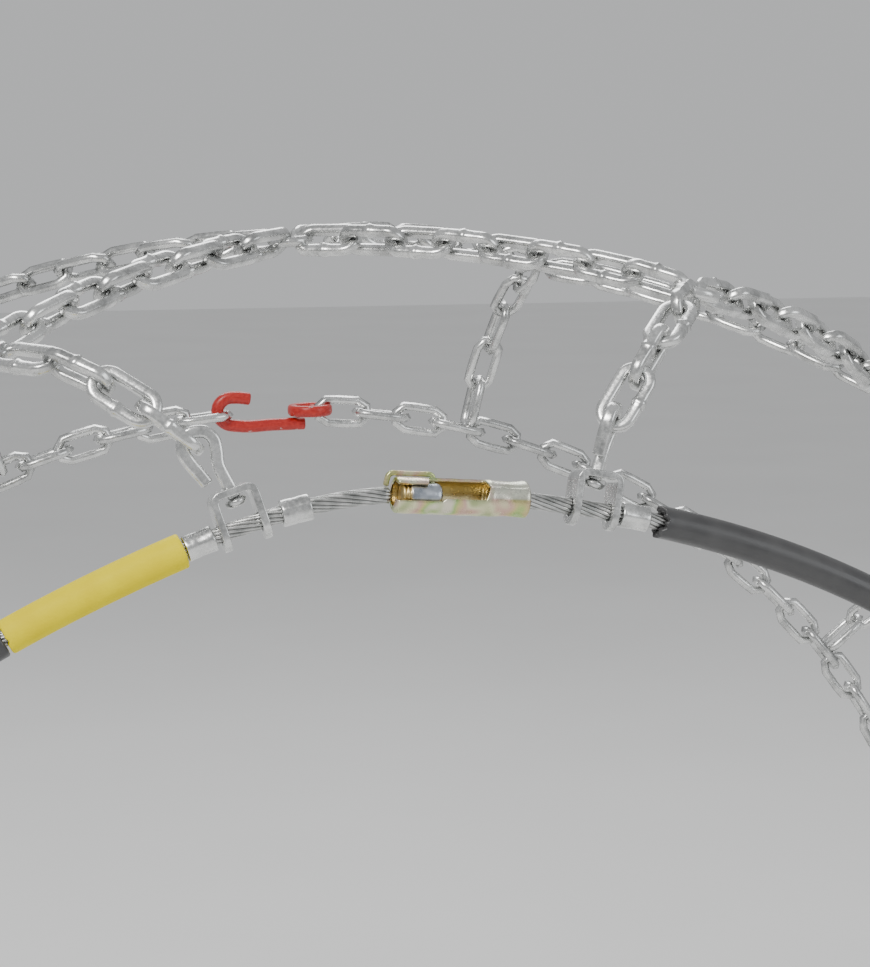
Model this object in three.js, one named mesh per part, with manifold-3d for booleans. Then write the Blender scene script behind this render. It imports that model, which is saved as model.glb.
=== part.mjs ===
// A set of snow chains for one car wheel, in the shape that it takes on the tyre.
// Millimetres. The origin is the wheel's centre, +Y is the axle and points to the wheel's outer
// side, +Z is up. Angles run clockwise from the top as seen from the inner side, in degrees.
import * as THREE from "three";
import { mergeVertices } from "three/addons/utils/BufferGeometryUtils.js";
import Module from "manifold-3d";

const wasm = await Module();
wasm.setup();

// ---- driving dimensions ----
const GAP = 0.4; // running clearance between pieces
const ARMS = 10; // chain arms down each sidewall
const FIRST_ARM = 14.3; // angle of the arm right of the coupler, where it meets the tread
const ARM_PITCH = 360 / ARMS;

// Line of the chain's centre across the tyre, as [distance from the middle, radius].
const TREAD_PROFILE = [
  [112, 262],
  [111.5, 275],
  [109, 289],
  [105, 300],
  [98.5, 310.5],
  [90, 317.5],
  [78, 322],
  [60, 324.5],
  [30, 325.7],
  [0, 326],
];
const SHOULDER = { y: -78, radius: 285 }; // centre that the links over the shoulder face away from
const JUNCTION_Y = 74; // where an arm meets the tread chain
const CROSS_ANGLE = 18; // angle from an arm to the middle joint of its tread chain

const LINK = { wire: 3, chamfer: 0.85, innerLength: 15.4, innerWidth: 5 };
const LINK_PITCH = LINK.innerLength - 1.4; // two links have a slack of 1.4
const SWING_LINKS = 3; // links of an arm that swing with its eye; the others lie on the shoulder
const RUN_BAR = 5.6; // side of the square bar that weighs as much as a run of links

const HOOP_Y = -112; // plane of the inner hoop
const HOOP = { radius: 259.8, rise: 5.2, riseAngle: -6.5, riseSpread: 11 };
const CABLE_RADIUS = 2.25;
const CABLE_BORE = 2.95;
const SHEATH_RADIUS = 4.5;
const SHEATH_START = 12; // angle where the grey sheath begins, right of the coupler
const MARKER = { from: -27.2, to: -16.3 }; // yellow marker sleeve
const FERRULE = { radius: 3.6, length: 8 };
const FERRULE_ANGLES = { ferrule_outer_left: -15.2, ferrule_inner_left: -9.5, ferrule_right: 10.7 };

const BRACKET = { width: 13, strap: 2, depth: 9, rise: 10.6, drop: 5, corner: 3, webHole: 2.8 };
const BRACKET_TILT = 8; // lean of every bracket towards the tyre
const BRACKET_RIGHT = 8.1; // angle of the bracket right of the coupler
const BRACKET_LEFT = -12.6; // angle of the bracket left of the coupler
const EYE = { wire: 1.7, headRadius: 2.9, headHeight: 1.3, headGap: 0.9 };
// Round bight of the swivel eye, [sideways, up from the bracket's top face].
const BIGHT = { side: -2.6, up: 12.4, radius: 4.4 };
const EYE_TIP = [-4.6, 3.2]; // where the hook's cut end stops, short of its shank
// Turn about the shank and lean on the bracket of each eye.
const EYE_SET = { left: [0, -7], right: [60, 10], other: [90, 0] };

const EYE_PULL = { left: -32, right: 34 }; // lean of the first link against its eye

const COUPLER = { angle: 0.1, length: 36.5, radius: 4.8, wall: 1.1 };
const SEAT = { from: -16.9, to: -4.8 }; // stretch of the housing that holds the plug
const WINDOW_END = 6.6; // the window runs from the seat to here
const PLUG = { radius: 3.2, length: 10.8 };
const BAIL = { from: -20, to: -7.2, rise: 2.6, thick: 1.4 };
const STUB_INSERT = 16; // cable of the right end that telescopes into the sheath

const SIDE_Y = 111; // plane of the outer side chain
const SIDE_RADIUS = 262;
const SIDE_START = 5.5; // angles where the side chain's two ends meet the closing hook
const SIDE_END = 353;
const LOCK = { angle: 199, radius: 238, length: 26, width: 15, height: 13, wall: 1.8, tab: 14.8 };
const CAM = { radius: 5.6, width: 7.6, lever: 15, pin: 1.9, drop: -1.6 };
const TAIL_HOOK = { reach: 25, length: 6, bend: 6.2, wire: 2 };
const TAIL_END_ANGLE = 232; // where the tension chain hooks back into the side chain

// ---- colours ----
const finish = (color, roughness, metalness) =>
  new THREE.MeshStandardMaterial({ color, roughness, metalness });
const ZINC = finish(0xc9ccc8, 0.35, 0.9);
const CABLE_STEEL = finish(0xb4b8b6, 0.4, 0.9);
const YELLOW_ZINC = finish(0xc8b878, 0.35, 0.8);
const GREY_SHEATH = finish(0x4a4a4b, 0.45, 0);
const YELLOW_SHEATH = finish(0xf2e600, 0.4, 0);
const RED_COAT = finish(0xb3201c, 0.4, 0);

// ---- solids ----
const asSolid = (geometry) => {
  const bare = geometry.index ? geometry.toNonIndexed() : geometry.clone();
  bare.deleteAttribute("normal");
  bare.deleteAttribute("uv");
  const merged = mergeVertices(bare, 1e-4);
  return new wasm.Manifold(
    new wasm.Mesh({
      numProp: 3,
      vertProperties: merged.attributes.position.array,
      triVerts: new Uint32Array(merged.index.array),
    }),
  );
};

const asGeometry = (solid) => {
  const mesh = solid.getMesh();
  const geometry = new THREE.BufferGeometry();
  geometry.setAttribute("position", new THREE.BufferAttribute(mesh.vertProperties, 3));
  geometry.setIndex(new THREE.BufferAttribute(mesh.triVerts, 1));
  return geometry;
};

const join = (first, ...others) =>
  asGeometry(others.reduce((sum, g) => sum.add(asSolid(g)), asSolid(first)));
const cut = (first, ...others) =>
  asGeometry(others.reduce((rest, g) => rest.subtract(asSolid(g)), asSolid(first)));
const common = (a, b) => asGeometry(asSolid(a).intersect(asSolid(b)));

const box = (x, y, z) => new THREE.BoxGeometry(x, y, z);
const rodAlongX = (radius, length, sides = 16) =>
  new THREE.CylinderGeometry(radius, radius, length, sides).rotateZ(Math.PI / 2);
const rodAlongY = (radius, length, sides = 16) =>
  new THREE.CylinderGeometry(radius, radius, length, sides);
const rodAlongZ = (radius, length, sides = 16) =>
  new THREE.CylinderGeometry(radius, radius, length, sides).rotateX(Math.PI / 2);

// ---- places on the wheel ----
const radians = THREE.MathUtils.degToRad;
const degrees = THREE.MathUtils.radToDeg;

const onWheel = (radius, y, angle) =>
  new THREE.Vector3(radius * Math.sin(radians(angle)), y, radius * Math.cos(radians(angle)));

// Radius of the chain's line at a distance from the middle of the tread.
const profileRadius = (y) => {
  const away = Math.abs(y);
  const i = TREAD_PROFILE.findIndex(([edge]) => edge <= away);
  const [y0, r0] = TREAD_PROFILE[Math.max(i - 1, 0)];
  const [y1, r1] = TREAD_PROFILE[Math.max(i, 1)];
  return r0 + ((r1 - r0) * (away - y0)) / (y1 - y0);
};

const signedAngle = (angle) => ((angle + 540) % 360) - 180;

// The hoop is a circle that rises a little towards the coupler.
const hoopRadius = (angle) => {
  const off = (signedAngle(angle) - HOOP.riseAngle) / HOOP.riseSpread;
  return HOOP.radius + HOOP.rise * Math.exp(-off * off);
};
const hoopPoint = (angle) => onWheel(hoopRadius(angle), HOOP_Y, angle);

class HoopArc extends THREE.Curve {
  constructor(from, to) {
    super();
    this.from = from;
    this.to = to;
  }
  getPoint(t, target = new THREE.Vector3()) {
    return target.copy(hoopPoint(this.from + (this.to - this.from) * t));
  }
}

class WheelArc extends THREE.Curve {
  constructor(radius, y, from, to) {
    super();
    Object.assign(this, { radius, y, from, to });
  }
  getPoint(t, target = new THREE.Vector3()) {
    return target.copy(onWheel(this.radius, this.y, this.from + (this.to - this.from) * t));
  }
}

// Turns a mesh that is modelled at the top of the hoop to its place round the hoop.
const placeOnHoop = (mesh, angle) => {
  const step = 0.05;
  const along = hoopPoint(angle + step).sub(hoopPoint(angle - step));
  mesh.position.copy(hoopPoint(angle));
  mesh.rotation.y = Math.atan2(-along.z, along.x);
  return mesh;
};

// ---- swept bars ----
const circle = (radius, sides) => {
  const shape = new THREE.Shape();
  for (let i = 0; i < sides; i++) {
    const a = ((i + 0.5) / sides) * 2 * Math.PI;
    shape[i ? "lineTo" : "moveTo"](radius * Math.cos(a), radius * Math.sin(a));
  }
  return shape;
};
const square = (side) => circle(side / Math.SQRT2, 4);
const sweep = (shape, path, steps) =>
  new THREE.ExtrudeGeometry(shape, { extrudePath: path, steps, curveSegments: 1 });
const ring = (outer, inner, sides) => {
  const shape = circle(outer, sides);
  shape.holes.push(circle(inner, sides));
  return shape;
};
const spline = (points) => new THREE.CatmullRomCurve3(points, false, "centripetal");
const barSteps = (path) => Math.max(2, Math.round(path.getLength() / 32));
const bar = (points) => {
  const path = spline(points);
  return sweep(square(RUN_BAR), path, barSteps(path));
};

// ---- assembly ----
const chain = new THREE.Group();
const addMesh = (name, geometry, material) => {
  const mesh = new THREE.Mesh(geometry, material);
  mesh.name = name;
  chain.add(mesh);
  return mesh;
};

// ---- one chain link: a turned ring of chamfered square wire, pulled apart along X ----
const linkGeometry = (() => {
  const half = LINK.wire / 2;
  const flat = half - LINK.chamfer;
  const centre = (LINK.innerWidth + LINK.wire) / 2;
  const corners = [
    [half, -flat],
    [half, flat],
    [flat, half],
    [-flat, half],
    [-half, flat],
    [-half, -flat],
    [-flat, -half],
    [flat, -half],
    [half, -flat],
  ];
  const profile = corners.map(([out, up]) => new THREE.Vector2(centre + out, up));
  const turns = 16;
  const geometry = new THREE.LatheGeometry(profile, turns, Math.PI / turns);
  const stretch = (LINK.innerLength - LINK.innerWidth) / 2;
  const position = geometry.attributes.position;
  for (let i = 0; i < position.count; i++)
    position.setX(i, position.getX(i) + Math.sign(position.getX(i)) * stretch);
  return geometry;
})();

// ---- inner hoop ----
const hoopSteps = (from, to) => Math.max(2, Math.round(Math.abs(to - from) / 4.6));
const addSheath = (name, from, to, material) => {
  const wall = ring(SHEATH_RADIUS, CABLE_BORE, 10);
  addMesh(name, sweep(wall, new HoopArc(from, to), hoopSteps(from, to)), material);
};

const armAngle = (k) => FIRST_ARM + ARM_PITCH * k;
const lastArm = ARMS - 1;
const bracketAngle = (k) =>
  k === 0 ? BRACKET_RIGHT : k === lastArm ? BRACKET_LEFT : armAngle(k);
const sheathClear = degrees((BRACKET.width / 2 + 0.6) / HOOP.radius);

for (let k = 0; k < lastArm; k++) {
  const from = k === 0 ? SHEATH_START : armAngle(k) + sheathClear;
  const to = k === lastArm - 1 ? MARKER.from - 0.1 + 360 : armAngle(k + 1) - sheathClear;
  addSheath(`sheath_${k + 1}`, from, to, GREY_SHEATH);
}
addSheath("marker_sleeve", MARKER.from, MARKER.to, YELLOW_SHEATH);

for (const [name, angle] of Object.entries(FERRULE_ANGLES)) {
  const tube = cut(rodAlongX(FERRULE.radius, FERRULE.length, 18), rodAlongX(CABLE_BORE, 12, 12));
  placeOnHoop(addMesh(name, tube, ZINC), angle);
}

const plugCentre = SEAT.from + PLUG.length / 2 + 0.5;
const cableEnd = COUPLER.angle + degrees((SEAT.from + 0.5 - GAP) / hoopRadius(0));
const stubEnd = SHEATH_START + degrees(STUB_INSERT / HOOP.radius);
const cableStart = stubEnd + degrees(14 / HOOP.radius);
addMesh(
  "hoop_cable",
  sweep(circle(CABLE_RADIUS, 8), new HoopArc(cableStart, 360 + cableEnd), hoopSteps(cableStart, 360)),
  CABLE_STEEL,
);
const stubStart = COUPLER.angle + degrees((WINDOW_END + 2) / hoopRadius(0));
addMesh(
  "cable_right_end",
  sweep(circle(CABLE_RADIUS, 8), new HoopArc(stubStart, stubEnd), 4),
  CABLE_STEEL,
);

// ---- coupler: a rolled housing with a window, and the plug that it holds ----
const plugGeometry = rodAlongX(PLUG.radius, PLUG.length, 20).translate(plugCentre, 0, 0);
const housingGeometry = (() => {
  const half = COUPLER.length / 2;
  const bore = COUPLER.radius - COUPLER.wall;
  const seatLength = WINDOW_END - SEAT.from;
  const hollow = rodAlongX(bore, seatLength, 20).translate(SEAT.from + seatLength / 2, 0, 0);
  const cableHole = rodAlongX(CABLE_RADIUS + 0.9, 24, 12).translate(half, 0, -0.4);
  const windowStart = SEAT.to - 0.5; // the window and the slot overlap, so no sliver is left
  const windowLength = WINDOW_END - windowStart;
  const window = box(windowLength, 8, 7).translate(windowStart + windowLength / 2, -3.2, 2.6);
  const slotLength = SEAT.to + half + 2;
  const slotSize = 2 * (CABLE_RADIUS + GAP);
  const slot = box(slotLength, 8, slotSize + 3)
    .translate(-half - 2 + slotLength / 2, -4, 1.5)
    .rotateX(-0.62);
  const mouth = rodAlongX(CABLE_RADIUS + 0.75, 6, 12).translate(-half, 0, -1.3);
  const body = cut(
    rodAlongX(COUPLER.radius, COUPLER.length, 24),
    hollow,
    cableHole,
    window,
    slot,
    mouth,
  );
  const outline = new THREE.Shape();
  const top = COUPLER.radius + BAIL.rise;
  outline.moveTo(BAIL.from, COUPLER.radius - 2.4);
  outline.lineTo(BAIL.from + 0.6, top - 1);
  outline.lineTo(BAIL.from + 1.8, top);
  outline.lineTo(BAIL.to, top);
  outline.lineTo(BAIL.to + 1, 2.2);
  outline.lineTo(BAIL.to - 0.6, 2.2);
  outline.lineTo(BAIL.to - 1.2, top - BAIL.thick);
  outline.lineTo(BAIL.from + 2.4, top - BAIL.thick);
  outline.lineTo(BAIL.from + 1.6, 2.2);
  outline.lineTo(BAIL.from + 1.2, COUPLER.radius - 2.4);
  const bail = new THREE.ExtrudeGeometry(outline, { depth: BAIL.thick, bevelEnabled: false })
    .rotateX(Math.PI / 2)
    .translate(0, COUPLER.radius - 0.3, 0);
  return join(body, bail);
})();
placeOnHoop(addMesh("coupler_housing", housingGeometry, YELLOW_ZINC), COUPLER.angle);
placeOnHoop(addMesh("coupler_plug", plugGeometry, ZINC), COUPLER.angle);

// ---- brackets and swivel eyes ----
const bracketGeometry = (() => {
  const half = BRACKET.width / 2;
  const inner = half - BRACKET.strap;
  const top = BRACKET.rise;
  const c = BRACKET.corner;
  const outline = new THREE.Shape();
  outline.moveTo(-half, -BRACKET.drop);
  outline.lineTo(-inner, -BRACKET.drop);
  outline.lineTo(-inner, top - c);
  outline.absarc(-inner + c - BRACKET.strap, top - c, c - BRACKET.strap, Math.PI, Math.PI / 2, true);
  outline.absarc(inner - c + BRACKET.strap, top - c, c - BRACKET.strap, Math.PI / 2, 0, true);
  outline.lineTo(inner, -BRACKET.drop);
  outline.lineTo(half, -BRACKET.drop);
  outline.lineTo(half, top - c);
  outline.absarc(half - c, top - c, c, 0, Math.PI / 2, false);
  outline.absarc(-half + c, top - c, c, Math.PI / 2, Math.PI, false);
  outline.lineTo(-half, -BRACKET.drop);
  const strap = new THREE.ExtrudeGeometry(outline, {
    depth: BRACKET.depth,
    bevelEnabled: false,
    curveSegments: 3,
  })
    .rotateX(Math.PI / 2)
    .translate(0, BRACKET.depth / 2, 0);
  const tongue = new THREE.Shape();
  const r = BRACKET.depth / 2;
  tongue.moveTo(-r, top + 1);
  tongue.lineTo(-r, -BRACKET.drop + r);
  tongue.absarc(0, -BRACKET.drop + r, r, Math.PI, 2 * Math.PI, false);
  tongue.lineTo(r, top + 1);
  const rounded = new THREE.ExtrudeGeometry(tongue, { depth: 20, bevelEnabled: false, curveSegments: 5 })
    .rotateX(Math.PI / 2)
    .rotateZ(Math.PI / 2)
    .translate(-10, 0, 0);
  return cut(
    common(strap, rounded),
    rodAlongX(CABLE_BORE, 20, 10),
    rodAlongZ(BRACKET.webHole, 8, 10).translate(0, 0, top),
  );
})();

const eyeGeometry = (() => {
  const { side, up, radius } = BIGHT;
  const points = [
    [0, -BRACKET.strap - EYE.headGap - EYE.headHeight / 2],
    [0, 0.5],
    [0.6, 5.5],
  ];
  for (let turn = 0; turn <= 180; turn += 30)
    points.push([side + radius * Math.cos(radians(turn)), up + radius * Math.sin(radians(turn))]);
  points.push(EYE_TIP);
  const line = spline(points.map(([x, z]) => new THREE.Vector3(x, 0, z)));
  const wire = sweep(circle(EYE.wire, 8), line, 15);
  const head = rodAlongZ(EYE.headRadius, EYE.headHeight, 12).translate(
    0,
    0,
    -BRACKET.strap - EYE.headGap - EYE.headHeight / 2,
  );
  return join(wire, head);
})();

const eyes = [];
for (let k = 0; k < ARMS; k++) {
  const bracket = placeOnHoop(addMesh(`bracket_${k + 1}`, bracketGeometry, ZINC), bracketAngle(k));
  bracket.rotateX(-radians(BRACKET_TILT));
  const [turn, lean] = k === 0 ? EYE_SET.right : k === lastArm ? EYE_SET.left : EYE_SET.other;
  const eye = placeOnHoop(addMesh(`swivel_eye_${k + 1}`, eyeGeometry, ZINC), bracketAngle(k));
  eye.quaternion.copy(bracket.quaternion);
  eye.translateZ(BRACKET.rise);
  eye.rotateY(radians(lean));
  eye.rotateZ(radians(turn));
  eye.updateMatrixWorld();
  eyes.push(eye);
}

// ---- arms: the two beside the coupler link by link, the others as plain bars ----
// Where an arm's first link touches its eye: inside the bight, on the side that the arm pulls to.
const eyeContact = (k) => {
  const reach = BIGHT.radius - EYE.wire - GAP;
  const pull = radians(k === 0 ? EYE_PULL.right : k === lastArm ? EYE_PULL.left : 0);
  const side = BIGHT.side + reach * Math.sin(pull);
  return eyes[k].localToWorld(new THREE.Vector3(side, 0, BIGHT.up + reach * Math.cos(pull)));
};

// Line of an arm from its eye up over the shoulder to the tread chain.
const armPath = (k) => {
  const start = eyeContact(k);
  const startAngle = degrees(Math.atan2(start.x, start.z));
  const startRadius = Math.hypot(start.x, start.z);
  const turn = signedAngle(armAngle(k) - startAngle);
  const rows = [
    [-start.y, startRadius],
    ...TREAD_PROFILE.filter(([y, r]) => r > startRadius + 6 && y > JUNCTION_Y + 8),
    [JUNCTION_Y, profileRadius(JUNCTION_Y)],
  ];
  const climbed = [0];
  for (let i = 1; i < rows.length; i++) {
    const step = Math.hypot(rows[i][0] - rows[i - 1][0], rows[i][1] - rows[i - 1][1]);
    climbed.push(climbed[i - 1] + step);
  }
  const share = turn / climbed[rows.length - 1];
  const path = spline(rows.map(([y, r], i) => onWheel(r, -y, startAngle + share * climbed[i])));
  path.arcLengthDivisions = 400;
  return path;
};

const armContacts = (k) => {
  const path = armPath(k);
  const length = path.getLength();
  return Array.from({ length: SWING_LINKS + 1 }, (_, i) => path.getPointAt((i * LINK_PITCH) / length));
};

// A link between two contact points; roll 0 lays it flat on the tyre.
const addLink = (name, from, to, roll) => {
  const along = to.clone().sub(from).normalize();
  const middle = from.clone().add(to).multiplyScalar(0.5);
  const core = onWheel(SHOULDER.radius, SHOULDER.y, degrees(Math.atan2(middle.x, middle.z)));
  const side = along.clone().cross(middle.clone().sub(core)).normalize();
  const normal = side.clone().cross(along).applyAxisAngle(along, radians(roll));
  const mesh = addMesh(name, linkGeometry, ZINC);
  const basis = new THREE.Matrix4().makeBasis(along, normal, along.clone().cross(normal));
  mesh.quaternion.setFromRotationMatrix(basis);
  mesh.position.copy(middle);
};

const onTread = (y, angle) => onWheel(profileRadius(y), y, angle);
const LINK_ROLLS = { left: [lastArm, [84, -4, 84]], right: [0, [-28, 62, -26]] };
for (const [name, [k, rolls]] of Object.entries(LINK_ROLLS)) {
  const contacts = armContacts(k);
  rolls.forEach((roll, i) => addLink(`${name}_arm_link_${i + 1}`, contacts[i], contacts[i + 1], roll));
}

// Plain bar for a stretch of an arm, between two lengths along its line.
const armBar = (k, from, to) => {
  const path = armPath(k);
  const length = path.getLength();
  const end = Math.min(to, length);
  const steps = Math.ceil((end - from) / 16);
  const points = Array.from({ length: steps + 1 }, (_, i) =>
    path.getPointAt((from + ((end - from) * i) / steps) / length),
  );
  return bar(points);
};
const swingLength = SWING_LINKS * LINK_PITCH; // the part of an arm that swings with its eye
const barAboveEye = 2 * EYE.wire + GAP + 1.5;
for (let k = 1; k < lastArm; k++)
  addMesh(`arm_${k + 1}`, armBar(k, barAboveEye, swingLength - GAP), ZINC);

// ---- tread chain: a diamond between each two arms, and the arms' upper ends, in two lengths ----
const CELLS = { tread_chain_1: [0, 4], tread_chain_2: [5, 9] };
const lengthGap = degrees((1.6 * RUN_BAR) / 322); // clears two lengths at an arm
const branch = (side, arm, middle) => {
  const at = (y) => onTread(side * y, arm + ((middle - arm) * (JUNCTION_Y - y)) / JUNCTION_Y);
  return bar([at(JUNCTION_Y), at(50), at(25), at(0)]);
};
for (const [name, [first, last]] of Object.entries(CELLS)) {
  const pieces = [];
  for (let k = first; k <= last; k++) {
    const start = armAngle(k);
    const end = armAngle(k + 1) - (k === last ? lengthGap : 0);
    const middle = armAngle(k) + CROSS_ANGLE;
    const beside = k === 0 || k === lastArm;
    pieces.push(armBar(k, swingLength + (beside ? LINK.wire + 3 * GAP : 4 * GAP), Infinity));
    for (const side of [-1, 1]) pieces.push(branch(side, start, middle), branch(side, end, middle));
  }
  addMesh(name, join(...pieces), ZINC);
}

// ---- outer side: side chain, closing hook, tension chain and its lock ----
const sideArc = new WheelArc(SIDE_RADIUS, SIDE_Y, SIDE_START, SIDE_END);
const outerArms = Array.from({ length: ARMS }, (_, k) => {
  const rows = TREAD_PROFILE.filter(([y, r]) => y > JUNCTION_Y + RUN_BAR && r > SIDE_RADIUS);
  return bar([
    onTread(JUNCTION_Y + RUN_BAR + GAP, armAngle(k)),
    ...rows.reverse().map(([y, r]) => onWheel(r, y, armAngle(k))),
    onWheel(SIDE_RADIUS, SIDE_Y, armAngle(k)),
  ]);
});
addMesh("side_chain", join(sweep(square(RUN_BAR), sideArc, 58), ...outerArms), ZINC);

const closingHook = (() => {
  const line = spline(
    [
      [8, -4.6],
      [-13, -4.6],
      [-19.6, -2.4],
      [-20.2, 3],
      [-15.5, 5.2],
      [-9, 4.6],
    ].map(([x, z]) => new THREE.Vector3(x, 0, z)),
  );
  const eye = new THREE.LatheGeometry(
    [
      [4.2, -2],
      [7.8, -2],
      [7.8, 2],
      [4.2, 2],
      [4.2, -2],
    ].map(([r, h]) => new THREE.Vector2(r, h)),
    14,
  ).translate(12, 0, 0);
  return join(sweep(circle(2.2, 8), line, 14), eye);
})();
const hookMesh = addMesh("closing_hook", closingHook, RED_COAT);
hookMesh.position.copy(onWheel(SIDE_RADIUS, SIDE_Y, (SIDE_START + SIDE_END - 360) / 2));
hookMesh.rotation.y = radians((SIDE_START + SIDE_END - 360) / 2);

const lockGroup = new THREE.Group();
lockGroup.position.copy(onWheel(LOCK.radius, SIDE_Y, LOCK.angle));
lockGroup.rotation.y = radians(LOCK.angle);
chain.add(lockGroup);
const addToLock = (name, geometry, material) => {
  const mesh = new THREE.Mesh(geometry, material);
  mesh.name = name;
  lockGroup.add(mesh);
  return mesh;
};
addToLock(
  "tension_lock",
  join(
    cut(
      box(LOCK.length, LOCK.width, LOCK.height),
      box(LOCK.length + 2, LOCK.width - 2 * LOCK.wall, LOCK.height).translate(0, 0, -LOCK.wall),
    ),
    rodAlongY(CAM.pin, LOCK.width - 1, 10).translate(4, 0, CAM.drop),
    box(8, 4, LOCK.tab).translate(0, 0, LOCK.height / 2 + LOCK.tab / 2 - 1),
  ),
  ZINC,
);
addToLock(
  "lock_cam",
  cut(
    join(
      rodAlongY(CAM.radius, CAM.width, 16),
      box(CAM.lever, CAM.width, 2.4).translate(CAM.lever / 2 + 3, 0, -3.2),
    ),
    rodAlongY(CAM.pin + 0.35, CAM.width + 2, 10),
  ).translate(4, 0, CAM.drop),
  RED_COAT,
);
const tailStart = onWheel(LOCK.radius - 12, SIDE_Y, LOCK.angle - 2);
const tailEnd = onWheel(SIDE_RADIUS - TAIL_HOOK.reach, SIDE_Y, TAIL_END_ANGLE);
addMesh("tension_chain", bar([tailStart, tailStart.clone().lerp(tailEnd, 0.5), tailEnd]), ZINC);

// The tension chain's hook, at its end, bent back over the side chain.
const tailHook = (() => {
  const { length, bend } = TAIL_HOOK;
  const points = [[0, 0], [length, 0]];
  for (let turn = -60; turn <= 150; turn += 30)
    points.push([length + bend * Math.cos(radians(turn)), bend * (1 + Math.sin(radians(turn)))]);
  const line = spline(points.map(([x, z]) => new THREE.Vector3(x, 0, z)));
  return sweep(circle(TAIL_HOOK.wire, 8), line, 14);
})();
const tailHookMesh = addMesh("tension_hook", tailHook, RED_COAT);
tailHookMesh.position.copy(tailEnd);
const tailRun = tailEnd.clone().sub(tailStart).normalize();
tailHookMesh.position.addScaledVector(tailRun, RUN_BAR / 2 + GAP);
tailHookMesh.rotation.y = Math.atan2(-tailRun.z, tailRun.x);

export default chain;
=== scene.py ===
"""Looks of a set of tire snow chains for one wheel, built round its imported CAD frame.

Shapes are worked out in millimetres and written in metres. The wheel's centre is the origin, +Y is the
axle towards the wheel's outer side, +Z is up, and wheel angles run clockwise from the top as seen from
the inner side, in degrees.
"""

from __future__ import annotations

import logging
import math
from dataclasses import dataclass, field
from enum import Enum
from typing import Callable, Sequence

import bpy
import numpy as np
from mathutils import Matrix, Vector


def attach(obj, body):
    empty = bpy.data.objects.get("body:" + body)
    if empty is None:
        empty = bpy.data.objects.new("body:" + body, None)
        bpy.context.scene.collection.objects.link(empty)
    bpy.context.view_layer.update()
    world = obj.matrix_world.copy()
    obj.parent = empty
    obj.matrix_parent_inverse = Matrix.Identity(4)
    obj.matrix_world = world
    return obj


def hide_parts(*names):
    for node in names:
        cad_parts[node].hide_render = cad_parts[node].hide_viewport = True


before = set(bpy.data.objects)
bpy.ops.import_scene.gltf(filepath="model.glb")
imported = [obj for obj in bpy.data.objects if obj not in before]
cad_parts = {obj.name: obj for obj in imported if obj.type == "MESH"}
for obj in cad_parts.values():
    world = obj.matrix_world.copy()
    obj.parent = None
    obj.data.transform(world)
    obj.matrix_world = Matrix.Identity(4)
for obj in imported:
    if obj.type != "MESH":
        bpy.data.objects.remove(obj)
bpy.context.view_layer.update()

LOG = logging.getLogger("snow_chain")
METRE = 0.001
ARMS = 10
FIRST_ARM = 14.3
ARM_PITCH = 360.0 / ARMS
CROSS_ANGLE = 18.0
JUNCTION_Y = 74.0
TREAD_PROFILE = np.array(
    [
        (0.0, 326.0),
        (30.0, 325.7),
        (60.0, 324.5),
        (78.0, 322.0),
        (90.0, 317.5),
        (98.5, 310.5),
        (105.0, 300.0),
        (109.0, 289.0),
        (111.5, 275.0),
        (112.0, 262.0),
    ]
)
SIDE_Y = 111.0
SIDE_RADIUS = 262.0
HOOP_Y = -112.0
HOOP_RADIUS = 259.8
HOOP_RISE = 5.2  # how much further out the hoop lies beside the coupler
HOOP_RISE_ANGLE = -6.5
HOOP_RISE_SPREAD = 11.0
HOOP_RUN = 262.0  # length of hoop that its tubes count for one radian
SHOULDER_Y = 78.0
SHOULDER_RADIUS = 285.0


# ---------------------------------------------------------------- arrays and meshes


@dataclass
class Shell:
    """Points and faces of a piece, in millimetres, with values that its materials read.

    Attributes:
        points: (n, 3) array of places.
        faces: list of (k, 3) or (k, 4) arrays of point numbers.
        values: (n,) arrays by attribute name.
    """

    points: np.ndarray
    faces: list[np.ndarray]
    values: dict[str, np.ndarray] = field(default_factory=dict)

    def moved(self, matrix: Matrix) -> "Shell":
        """Returns a copy placed by a 4 by 4 matrix in millimetres."""
        m = np.array(matrix)
        return Shell(self.points @ m[:3, :3].T + m[:3, 3], self.faces, dict(self.values))

    def welded(self) -> "Shell":
        """Returns the shell with points that coincide made one, and quads that shrink made triangles."""
        keys = np.round(self.points * 2000).astype(np.int64)
        _, first, inverse = np.unique(keys, axis=0, return_index=True, return_inverse=True)
        inverse = inverse.ravel()
        faces = []
        for f in self.faces:
            g = inverse[f]
            same = g == np.roll(g, -1, axis=1)
            faces.append(g[same.sum(1) == 0])
            once = np.nonzero(same.sum(1) == 1)[0]
            if len(once) and f.shape[1] == 4:
                keep = (np.argmax(same[once], axis=1)[:, None] + np.arange(1, 4)) % 4
                faces.append(g[once[:, None], keep])
        values = {n: v[first] for n, v in self.values.items()}
        return Shell(self.points[first], [f for f in faces if len(f)], values)

    def flipped(self) -> "Shell":
        """Returns the shell with its faces turned the other way."""
        return Shell(self.points, [f[:, ::-1] for f in self.faces], self.values)

    def tagged(self, name: str, value: np.ndarray | float) -> "Shell":
        """Returns the shell with one value, or one for each point, under an attribute name."""
        self.values[name] = np.broadcast_to(np.asarray(value, float), len(self.points)).copy()
        return self


def joined(shells: Sequence[Shell]) -> Shell:
    """Puts several shells into one, keeping each one's points apart.

    Args:
        shells: The shells to gather.

    Returns:
        One shell; an attribute that a shell lacks is 0 on its points.
    """
    starts = np.cumsum([0] + [len(s.points) for s in shells])
    names = sorted({n for s in shells for n in s.values})
    values = {
        n: np.concatenate([s.values.get(n, np.zeros(len(s.points))) for s in shells]) for n in names
    }
    faces = [f + start for s, start in zip(shells, starts) for f in s.faces]
    return Shell(np.concatenate([s.points for s in shells]), faces, values)


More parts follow.
